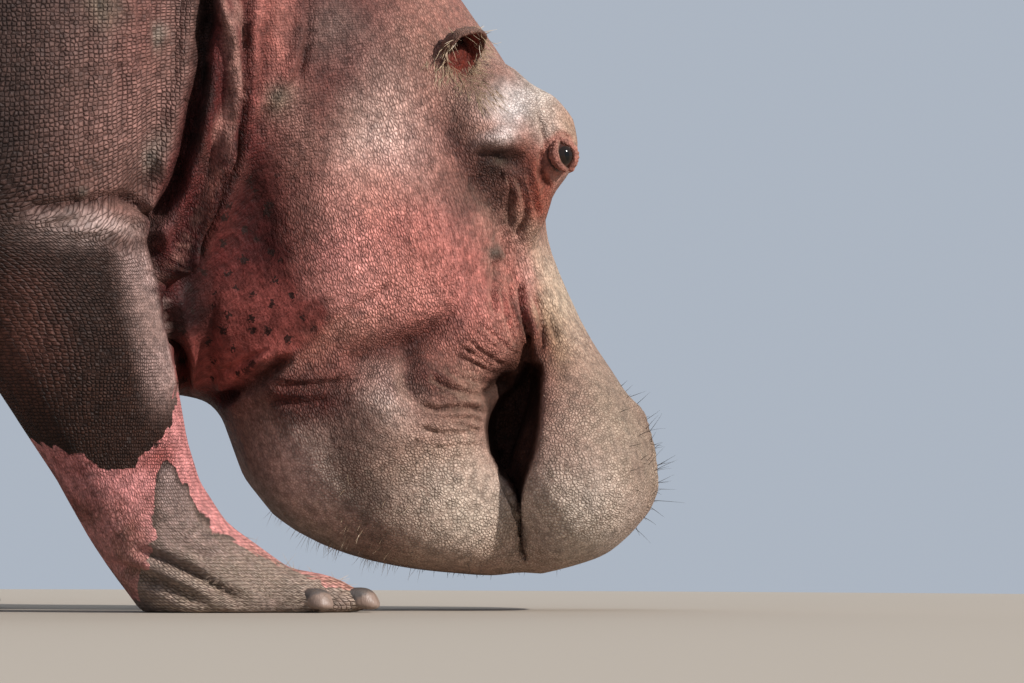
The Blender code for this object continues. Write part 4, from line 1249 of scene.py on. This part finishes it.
def hide_material(plates):
    material, tree, shader = new_material("bare_hide", Specular_IOR_Level=0.20)

    def turned(where, angle):
        return add(tree, "ShaderNodeMapping", {"Vector": where, "Rotation": (0, angle, 0)}).outputs[0]

    def stretched(where, share):
        return add(tree, "ShaderNodeMapping", {"Vector": where, "Scale": (share, 1, 1)}).outputs[0]

    def times(first, second, clamp=False):
        return maths(tree, "MULTIPLY", first, second, clamp)

    def less(first, second, clamp=False):
        return maths(tree, "SUBTRACT", first, second, clamp)

    def plus(first, second, clamp=False):
        return maths(tree, "ADD", first, second, clamp)

    def grey(value):
        return add(tree, "ShaderNodeCombineColor", {0: value, 1: value, 2: value}).outputs[0]

    kinds = add(tree, "ShaderNodeSeparateColor", {0: kept(tree, "skin_kind", "Color")}).outputs
    pebbly = kept(tree, "skin_kind", "Alpha")
    marks = add(tree, "ShaderNodeSeparateColor", {0: kept(tree, "marks", "Color")}).outputs
    body = in_body(tree)
    head = turned(body, -HEAD_PITCH)
    long_head = stretched(head, 0.50)
    down_streaks = stretched(head, 0.13)
    jowl_streaks = stretched(turned(body, JOWL_SLOPE), 0.10)

    weave, scales, pebbles = (
        add(tree, "ShaderNodeGroup", dict(zip(PLATE_SETTINGS, given)), node_tree=plates).outputs
        for given in ((kept(tree, "lay", "Vector"), *WEAVE), (long_head, *SCALES), (body, *PEBBLES)))
    clouds = noise(tree, body, 13, 4, 0.6)
    flecks = noise(tree, body, 85, 4, 0.65)
    grain = noise(tree, body, 520, 2)
    cheek_lines = eased(tree, noise(tree, down_streaks, 330, 2), 0.36, 0.62)
    fine_jowl = eased(tree, noise(tree, jowl_streaks, 420, 2), 0.36, 0.62)
    wrinkles = noise(tree, long_head, 42, 3, 0.7)

    # colour: clouds over the tone, then the sharp-edged pink, flecks, dust, cracks and spots
    shades = {k: eased(tree, clouds, 0.28, 0.72, *ends) for k, ends in enumerate(CLOUD_SHADES)}
    colour = blended(tree, 1.0, kept(tree, "tone", "Color"),
                     add(tree, "ShaderNodeCombineColor", shades).outputs[0], "MULTIPLY")
    patches = noise(tree, long_head, 27, 5, 0.65)
    mottle = times(plus(kinds[1], pebbly, True), eased(tree, patches, 0.50, 0.66))
    mottled = blended(tree, 1.0, colour, MOTTLED, "MULTIPLY")
    colour = blended(tree, times(mottle, 0.42), colour, mottled)
    ragged = plus(kept(tree, "pink_edge", "Fac"), times(less(flecks, 0.5), 0.012))
    pink = eased(tree, ragged, -0.0012, 0.0012)
    pinks = blended(tree, eased(tree, clouds, 0.45, 0.75), (*PINK_SKIN, 1), (*tint(164, 94, 88), 1))
    colour = blended(tree, pink, colour, pinks)
    colour = blended(tree, 1.0, colour, grey(eased(tree, flecks, 0.30, 0.72, 0.62, 1.38)), "MULTIPLY")
    dust = times(marks[1], eased(tree, clouds, 0.30, 0.70, 0.10, 0.85))
    colour = blended(tree, times(dust, 0.50), colour, (*tint(188, 170, 146), 1))

    strong = eased(tree, clouds, 0.25, 0.70, 0.50, 1.0)
    woven = times(times(kinds[0], less(1.0, weave["Plate"])), strong)
    scaled = times(times(kinds[1], less(1.0, scales["Plate"])), strong)
    pebbled = times(times(pebbly, less(1.0, pebbles["Plate"])), strong)
    jowly = times(marks[0], kinds[2])
    lined = plus(times(less(kinds[2], jowly), less(1.0, cheek_lines)),
                 times(jowly, times(less(1.0, fine_jowl), 0.7)))
    crack = plus(plus(woven, times(scaled, 0.95)),
                 plus(times(pebbled, 0.85), times(lined, 0.42)), True)
    # darker in the cracks: partly the skin's own tone, partly painted shade
    cracks_with_painted_shade = blended(tree, 1.0, colour, CRACK_TONE_AND_SHADE, "MULTIPLY")
    colour = blended(tree, times(crack, 0.90), colour, cracks_with_painted_shade)
    pale = plus(times(kinds[1], scales["Shade"]), times(kinds[0], weave["Shade"]))
    brighter = blended(tree, 1.0, colour, ON_A_PALE_PLATE, "MULTIPLY")
    colour = blended(tree, times(times(pale, 0.42), less(1.0, crack, True)), colour, brighter)
    parted = add(tree, "ShaderNodeSeparateXYZ", {0: body}).outputs
    spot_lay = add(tree, "ShaderNodeCombineXYZ", {0: parted[0], 1: parted[2]}).outputs[0]
    jitter = noise(tree, body, 260, 1)
    spots = add(tree, "ShaderNodeTexVoronoi", {"Vector": spot_lay, "Scale": 34, "Randomness": 0.80},
                voronoi_dimensions="2D").outputs
    sizes = add(tree, "ShaderNodeSeparateColor", {0: spots[1]}).outputs[0]
    spots = plus(spots[0], plus(times(less(jitter, 0.5), 0.56), times(sizes, 0.11)))
    colour = blended(tree, times(times(eased(tree, spots, 0.225, 0.150), marks[0]), 0.92), colour,
                     (*tint(34, 19, 16), 1))
    tree.links.new(colour, shader.inputs["Base Color"])

    rough = plus(plus(0.52, times(flecks, 0.16)), times(dust, 0.25))
    tree.links.new(less(rough, times(marks[2], 0.40)), shader.inputs["Roughness"])

    relief = plus(times(woven, WOVEN_RELIEF), times(scaled, SCALED_RELIEF))
    relief = plus(relief, plus(times(pebbled, PEBBLED_RELIEF), times(lined, LINED_RELIEF)))
    relief = plus(relief, plus(times(grain, GRAIN_RELIEF), times(flecks, FLECK_RELIEF)))
    in_relief(tree, shader, plus(relief, times(wrinkles, WRINKLE_RELIEF)))
    return material


plates = cracked_plates()
hide.data.materials.clear()
hide.data.materials.append(hide_material(plates))
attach(hide, "root")
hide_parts(*FLESH, *EARS)

# ---- Eyes -------------------------------------------------------------------------------------------
# Dark brown eyes with a low clear cornea and a level slit of a pupil, wet all over.
# Each is a ball that bulges a little along its gaze, in the middle of its CAD ball.

CORNEA_START, CORNEA_RISE = 0.72, 0.045
IRIS_SHARE, PUPIL_HALF_LENGTH, PUPIL_HALF_HEIGHT = 0.62, 0.40, 0.16


def eye_material(side):
    material, tree, shader = new_material("wet_eye_right" if side < 0 else "wet_eye_left", Roughness=0.12,
                                          Specular_IOR_Level=0.2, Coat_Weight=0.35, Coat_Roughness=0.03)
    along, gaze, across = eye_axes(side)
    spot = vector_maths(tree, "SUBTRACT", {0: in_body(tree), 1: eye_middle(side)})

    def towards(axis):
        return vector_maths(tree, "DOT_PRODUCT", {0: spot, 1: axis / EYE_RADIUS}, "Value")

    def squared(value, size):
        return maths(tree, "POWER", maths(tree, "ABSOLUTE", maths(tree, "DIVIDE", value, size)), 2)

    level, upright = towards(along), towards(across)
    out = maths(tree, "SQRT", maths(tree, "ADD", maths(tree, "MULTIPLY", level, level),
                                    maths(tree, "MULTIPLY", upright, upright)))
    streaks = noise(tree, spot, 700, 3)
    iris = blended(tree, streaks, (*tint(16, 10, 8), 1), (*tint(40, 26, 18), 1))
    slit = maths(tree, "ADD", squared(level, PUPIL_HALF_LENGTH), squared(upright, PUPIL_HALF_HEIGHT))
    colour = blended(tree, eased(tree, slit, 1.15, 0.85), iris, (*tint(6, 5, 5), 1))
    colour = blended(tree, eased(tree, out, IRIS_SHARE - 0.06, IRIS_SHARE), colour, (*tint(60, 34, 26), 1))
    tree.links.new(colour, shader.inputs["Base Color"])
    return material


for side, word in ((-1, "right"), (1, "left")):
    nothing_selected()
    bpy.ops.mesh.primitive_uv_sphere_add(segments=64, ring_count=40, radius=EYE_RADIUS)
    ball = bpy.context.active_object
    ball.name = ball.data.name = "eyeball_" + word
    along, gaze, across = eye_axes(side)
    ball.data.transform(Matrix((along, across, gaze)).transposed().to_4x4())
    places = places_of(ball)
    facing = places @ np.array(gaze) / EYE_RADIUS
    places *= (1 + CORNEA_RISE * ramp(facing, CORNEA_START, 1.0))[:, None]
    put_places(ball, places + np.array(eye_middle(side)))
    in_edit_mode(only(ball), WHOLE, OUTWARDS)
    bpy.ops.object.shade_smooth()
    ball.data.materials.append(eye_material(side))
    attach(ball, "root")
    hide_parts("eye_" + word)

# ---- Nails ------------------------------------------------------------------------------------------
# Short blunt horn nails, one on the front of each toe, worn level underneath.
# Blue-grey at the root and cream at the worn edge. Each is a rounded block, sunk into its toe.

NAIL_HALF_SIZES = (0.0180, 0.0175, 0.0140)
NAIL_SQUARENESS = 0.72
NAIL_SLOPE, NAIL_CURVE = 0.42, 0.25
HEEL_BEHIND_NAILS, NAIL_ABOVE_FLOOR = 0.085, 0.0028
NAIL_RELIEF = 0.0008


def nail_material():
    material, tree, shader = new_material("nail_horn", Roughness=0.48)
    worn, body = kept(tree, "worn", "Fac"), in_body(tree)
    ribs = add(tree, "ShaderNodeMapping", {"Vector": body, "Scale": (1, 1, 0.12)}).outputs[0]
    ribs = noise(tree, ribs, 420, 2)
    stains = noise(tree, body, 130, 3)
    edge = maths(tree, "ADD", worn, maths(tree, "MULTIPLY", maths(tree, "SUBTRACT", stains, 0.5), 0.35))
    colour = blended(tree, eased(tree, edge, 0.42, 0.62), (*tint(84, 76, 72), 1), (*tint(134, 112, 100), 1))
    colour = blended(tree, eased(tree, stains, 0.45, 0.70, 0.0, 0.45), colour, (*tint(104, 90, 78), 1))
    tree.links.new(colour, shader.inputs["Base Color"])
    ribs, dents = (maths(tree, "MULTIPLY", rough, NAIL_RELIEF) for rough in (ribs, stains))
    in_relief(tree, shader, maths(tree, "ADD", ribs, dents))
    return material


horn = nail_material()
for foot in ("forefoot_right", "forefoot_left", "hindfoot_right", "hindfoot_left"):
    names = sorted(name for name in frame["nodes"] if name.startswith(foot))
    middles = [sum(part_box(name), Vector()) / 2 for name in names]
    heel = sum(middles, Vector()) / len(middles) - Vector((HEEL_BEHIND_NAILS, 0, 0))
    nothing_selected()
    made = []
    for name, middle in zip(names, middles):
        bpy.ops.mesh.primitive_uv_sphere_add(segments=40, ring_count=24, radius=1)
        nail = bpy.context.active_object
        ball = places_of(nail)
        block = np.sign(ball) * np.abs(ball) ** NAIL_SQUARENESS
        worn_share = np.clip(0.5 + 0.30 * block[:, 0] - 0.45 * block[:, 2], 0, 1)
        block[:, 0] -= NAIL_SLOPE * (block[:, 2] + 0.6)
        block[:, 0] -= NAIL_CURVE * block[:, 1] ** 2
        block *= np.array(NAIL_HALF_SIZES)
        turn = 0.8 * math.atan2(middle.y - heel.y, middle.x - heel.x)
        across = block[:, 0] * math.sin(turn) + block[:, 1] * math.cos(turn)
        forward = block[:, 0] * math.cos(turn) - block[:, 1] * math.sin(turn)
        up = np.maximum(block[:, 2] + middle.z, NAIL_ABOVE_FLOOR)
        put_places(nail, np.column_stack([forward + middle.x, across + middle.y, up]))
        keep_values(nail, "worn", worn_share)
        made.append(nail)
    for nail in made:
        nail.select_set(True)
    bpy.context.view_layer.objects.active = made[0]
    bpy.ops.object.join()
    nails = bpy.context.active_object
    nails.name = nails.data.name = "nails_" + foot
    bpy.ops.object.transform_apply(location=True, rotation=True, scale=True)
    in_edit_mode(nails, WHOLE, OUTWARDS)
    bpy.ops.object.shade_smooth()
    nails.data.materials.append(horn)
    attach(nails, "root")
    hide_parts(*names)

# ---- Bristles ---------------------------------------------------------------------------------------
# The only hair: stiff dark bristles on the muzzle, pale hairs on the chin and lips, a fringe on the
# rims of the ears, and two rows of bristles on the tail. Each is a thin bent three-sided spike.

SPIKE_SIDES, SPIKE_RINGS, ROOT_DEPTH = 3, 5, 0.002
ROOT_PATCH = 0.003


def scattered(count, share_at, seed):
    """Random roots on the hide, thicker where share_at is larger, with the hide's normals there."""
    draw = np.random.default_rng(seed)
    corners = listed(hide.data.polygons, "vertices", 3, np.int32)
    share = share_at[corners].mean(1)
    corners = corners[share > 0.02]
    first, second, third = (places[corners[:, k]] for k in range(3))
    flat = np.cross(second - first, third - first)
    weight = np.linalg.norm(flat, axis=1) * share[share > 0.02]
    chosen = draw.choice(len(corners), count, p=weight / weight.sum())
    a, b = draw.random(count), draw.random(count)
    a, b = np.where(a + b > 1, 1 - a, a)[:, None], np.where(a + b > 1, 1 - b, b)[:, None]
    roots = first[chosen] + (second - first)[chosen] * a + (third - first)[chosen] * b
    return roots, flat[chosen] / np.linalg.norm(flat[chosen], axis=1)[:, None], draw


def unwrapped(roots):
    """Where each root lies on the hide laid out flat: round the body, and from tail to nose."""
    head = ramp(from_neck(roots), 0.0, 0.15)
    body_turn = np.arctan2(roots[:, 1], roots[:, 2] - BODY_AXIS)
    head_turn = np.arctan2(roots[:, 1], above_head(roots) + 0.25)
    length = roots[:, 0] * (1 - head) + (1.10 + along_head(roots)) * head
    return np.column_stack([0.5 + (body_turn * (1 - head) + head_turn * head) / (2 * math.pi) * 0.98,
                            (length + 1.6) / 3.6])


def add_bristles(name, material, roots, headings, lengths, thickness, bend):
    count = len(roots)
    headings = headings / np.linalg.norm(headings, axis=1)[:, None]
    steps = np.linspace(0, 1, SPIKE_RINGS)
    across = np.cross(headings, np.array([0.31, 0.83, 0.46]))
    across /= np.linalg.norm(across, axis=1)[:, None]
    over = np.cross(headings, across)
    spine = (roots - ROOT_DEPTH * headings)[:, None] + lengths[:, None, None] * (
        headings[:, None] * steps[:, None] + 0.5 * bend[:, None] * steps[:, None] ** 2)
    turns = 2 * math.pi * np.arange(SPIKE_SIDES) / SPIKE_SIDES
    radii = thickness * (1 - 0.9 * steps)
    ring = across[:, None, :] * np.cos(turns)[:, None] + over[:, None, :] * np.sin(turns)[:, None]
    points = spine[:, :, None] + radii[None, :, None, None] * ring[:, None]
    size = SPIKE_RINGS * SPIKE_SIDES
    faces = []
    for row in range(SPIKE_RINGS - 1):
        for k in range(SPIKE_SIDES):
            after = (k + 1) % SPIKE_SIDES
            faces.append((row * SPIKE_SIDES + k, row * SPIKE_SIDES + after,
                          (row + 1) * SPIKE_SIDES + after, (row + 1) * SPIKE_SIDES + k))
    faces = np.array(faces)
    every = (faces[None] + size * np.arange(count)[:, None, None]).reshape(-1, 4)
    last = size - SPIKE_SIDES
    ends = [tuple(size * n + last + k for k in range(SPIKE_SIDES)) for n in range(count)]
    starts = [tuple(size * n + k for k in reversed(range(SPIKE_SIDES))) for n in range(count)]
    mesh = bpy.data.meshes.new(name)
    mesh.from_pydata(points.reshape(-1, 3).tolist(), [], every.tolist() + ends + starts)
    piece = in_scene(name, mesh)
    spot = unwrapped(roots)[:, None, None] + ROOT_PATCH * np.stack(np.broadcast_arrays(
        (np.arange(SPIKE_SIDES) / SPIKE_SIDES - 0.33)[None, None, :], (steps - 0.5)[None, :, None]), -1)
    spot = np.broadcast_to(spot, (count, SPIKE_RINGS, SPIKE_SIDES, 2)).reshape(-1, 2)
    loops = listed(mesh.loops, "vertex_index", 1, np.int32).ravel()
    layer = mesh.uv_layers.new(name="OFBake")
    layer.data.foreach_set("uv", spot[loops].astype(np.float32).ravel())
    share = np.broadcast_to(steps[None, :, None], (count, SPIKE_RINGS, SPIKE_SIDES)).ravel()
    keep_values(piece, "along", share)
    in_edit_mode(only(piece), WHOLE, OUTWARDS)
    mesh.materials.append(material)
    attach(piece, "root")


def add_tuft(name, material, share_at, count, seed, lean, lengths, thickness):
    """A patch of bristles. Their lean is how far they stray, their direction and their bend."""
    roots, facing, draw = scattered(count, share_at, seed)
    straying, direction, bend = lean
    leaning = draw.normal(size=facing.shape) * straying + np.array(direction)
    add_bristles(name, material, roots, facing + leaning, draw.uniform(*lengths, len(roots)), thickness,
                 draw.normal(size=facing.shape) * bend)


def bristle_material(name, root_colour, tip_colour):
    material, tree, shader = new_material(name, Roughness=0.45)
    colour = blended(tree, kept(tree, "along", "Fac"), (*root_colour, 1), (*tip_colour, 1))
    tree.links.new(colour, shader.inputs["Base Color"])
    return material


places, normals = places_of(hide), normals_of(hide)
on_head = in_head_frame(places)
head = (from_neck(places) > 0.10) & (behind_jaw(places) > 0.02)
dark_bristle = bristle_material("dark_bristle", tint(46, 36, 30), tint(30, 24, 20))
pale_bristle = bristle_material("pale_bristle", tint(128, 102, 82), tint(214, 190, 158))

muzzle = oval((0.430, 0.030), (0.090, 0.060)) * head * ramp(on_head[:, 0], 0.26, 0.32)
roots, facing, draw = scattered(70, muzzle, 71)
lean = draw.normal(size=facing.shape) * 0.30 + np.array([0.10, 0, 0.22])
lengths = 0.006 + 0.034 * draw.random(len(roots)) ** 1.8
add_bristles("muzzle_bristles", dark_bristle, roots, facing + lean, lengths, 0.00052,
             draw.normal(size=facing.shape) * 0.22 + np.array([0, 0, -0.10]))

lips = oval((0.400, -0.120), (0.090, 0.040)) + oval((0.420, -0.260), (0.080, 0.060))
add_tuft("lip_bristles", dark_bristle, lips * head, 260, 72, (0.35, (0, 0, -0.35), 0.20), (0.004, 0.012),
         0.00042)
chin = oval((0.400, -0.430), (0.070, 0.070)) * head
add_tuft("chin_hairs", pale_bristle, chin, 180, 73, (0.25, (-0.30, 0, -0.55), 0.22), (0.010, 0.024),
         0.00036)

for side, word in ((-1, "right"), (1, "left")):
    seat = ear_frame(side)
    outwards = np.array(seat.to_3x3().col[1])
    in_ear, off_centre = beside_ear(places, side)
    lower = ramp(in_ear[:, 2], EAR_HALF_LENGTH * 1.9, EAR_HALF_LENGTH * 0.7)
    rim = np.exp(-((off_centre - 0.98) / 0.16) ** 2) * ramp(in_ear[:, 1], -0.016, -0.004) * (0.15 + lower)
    rim *= near_point(places, seat @ Vector((0, 0, EAR_HALF_LENGTH)), 0.075)
    roots, facing, draw = scattered(420, rim, 74 + side)
    out = (roots - np.array(seat @ Vector((0, 0, EAR_HALF_LENGTH * EAR_MIDDLE)))) / EAR_HALF_LENGTH
    lean = out * 0.55 + outwards * 0.55 + draw.normal(size=facing.shape) * 0.30 + np.array([0, 0, -0.35])
    add_bristles("ear_fringe_" + word, pale_bristle, roots, facing * 0.4 + lean,
                 draw.uniform(0.010, 0.024, len(roots)), 0.00065, draw.normal(size=facing.shape) * 0.35)

tail_low, tail_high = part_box("tail")
end = ramp(places[:, 2], tail_low.z + 0.20, tail_low.z + 0.03) * (places[:, 0] < tail_high.x)
rows = end * ramp(np.abs(normals[:, 1]), 0.55, 0.15)
add_tuft("tail_bristles", dark_bristle, rows, 240, 76, (0.18, (0, 0, -1.10), 0.15), (0.020, 0.045),
         0.00075)

# ---- Floor, lights and camera -----------------------------------------------------------------------
# A plain pale floor under soft daylight from ahead and above on the animal's right.
# The camera stands far off to the right, low down, and frames the lowered head and the right foreleg.

FLOOR_RADIUS, FLOOR_CUTS = 20, 40
FLAT_RADIUS, FLOOR_FALL = 1.9, 0.004  # beyond the flat middle it curves down
VIEW_WIDTH = 1.352
VIEW_MIDDLE = (TOE_TIP + 0.1914, 0.0, 0.3544)
VIEW_RISE = math.radians(-0.1)
CAMERA_DISTANCE = 26.0
SENSOR = 36.0


nothing_selected()
bpy.ops.mesh.primitive_circle_add(vertices=96, radius=FLOOR_RADIUS, fill_type="TRIFAN")
floor = bpy.context.active_object
floor.name = "floor"
in_edit_mode(floor, (bpy.ops.mesh.subdivide, {"number_cuts": FLOOR_CUTS}))
spots = places_of(floor)
spots[:, 2] = -FLOOR_FALL * np.clip(np.hypot(spots[:, 0], spots[:, 1]) - FLAT_RADIUS, 0, None) ** 2
put_places(floor, spots)
bpy.ops.object.shade_smooth()
sand, _, _ = new_material("sandy_floor", Base_Color=(0.370, 0.315, 0.255, 1), Roughness=0.95)
floor.data.materials.append(sand)

sky = bpy.data.worlds.new("soft_sky")
bpy.context.scene.world = sky
sky.use_nodes = True
sky.node_tree.nodes["Background"].inputs["Color"].default_value = (0.415, 0.465, 0.540, 1)
sky.node_tree.nodes["Background"].inputs["Strength"].default_value = 1.0


def sun(name, direction, strength, softness, colour):
    light = in_scene(name, bpy.data.lights.new(name, "SUN"))
    light.data.energy, light.data.angle, light.data.color = strength, math.radians(softness), colour
    light.rotation_euler = Vector(direction).to_track_quat("Z", "Y").to_euler()


sun("key_light", (0.72, -0.53, 0.52), 4.7, 2, (1.0, 0.965, 0.925))
sun("fill_light", (-0.4, 0.8, 0.8), 0.5, 40, (0.92, 0.96, 1.0))

lens = bpy.data.cameras.new("camera")
camera = in_scene("camera", lens)
lens.sensor_width = SENSOR
lens.lens = SENSOR * CAMERA_DISTANCE / VIEW_WIDTH
lens.clip_end = 200
camera.location = (VIEW_MIDDLE[0], -CAMERA_DISTANCE * math.cos(VIEW_RISE),
                   VIEW_MIDDLE[2] + CAMERA_DISTANCE * math.sin(VIEW_RISE))
camera.rotation_euler = (math.pi / 2 - VIEW_RISE, 0, 0)
bpy.context.scene.camera = camera
bpy.context.scene.view_settings.view_transform = "Standard"
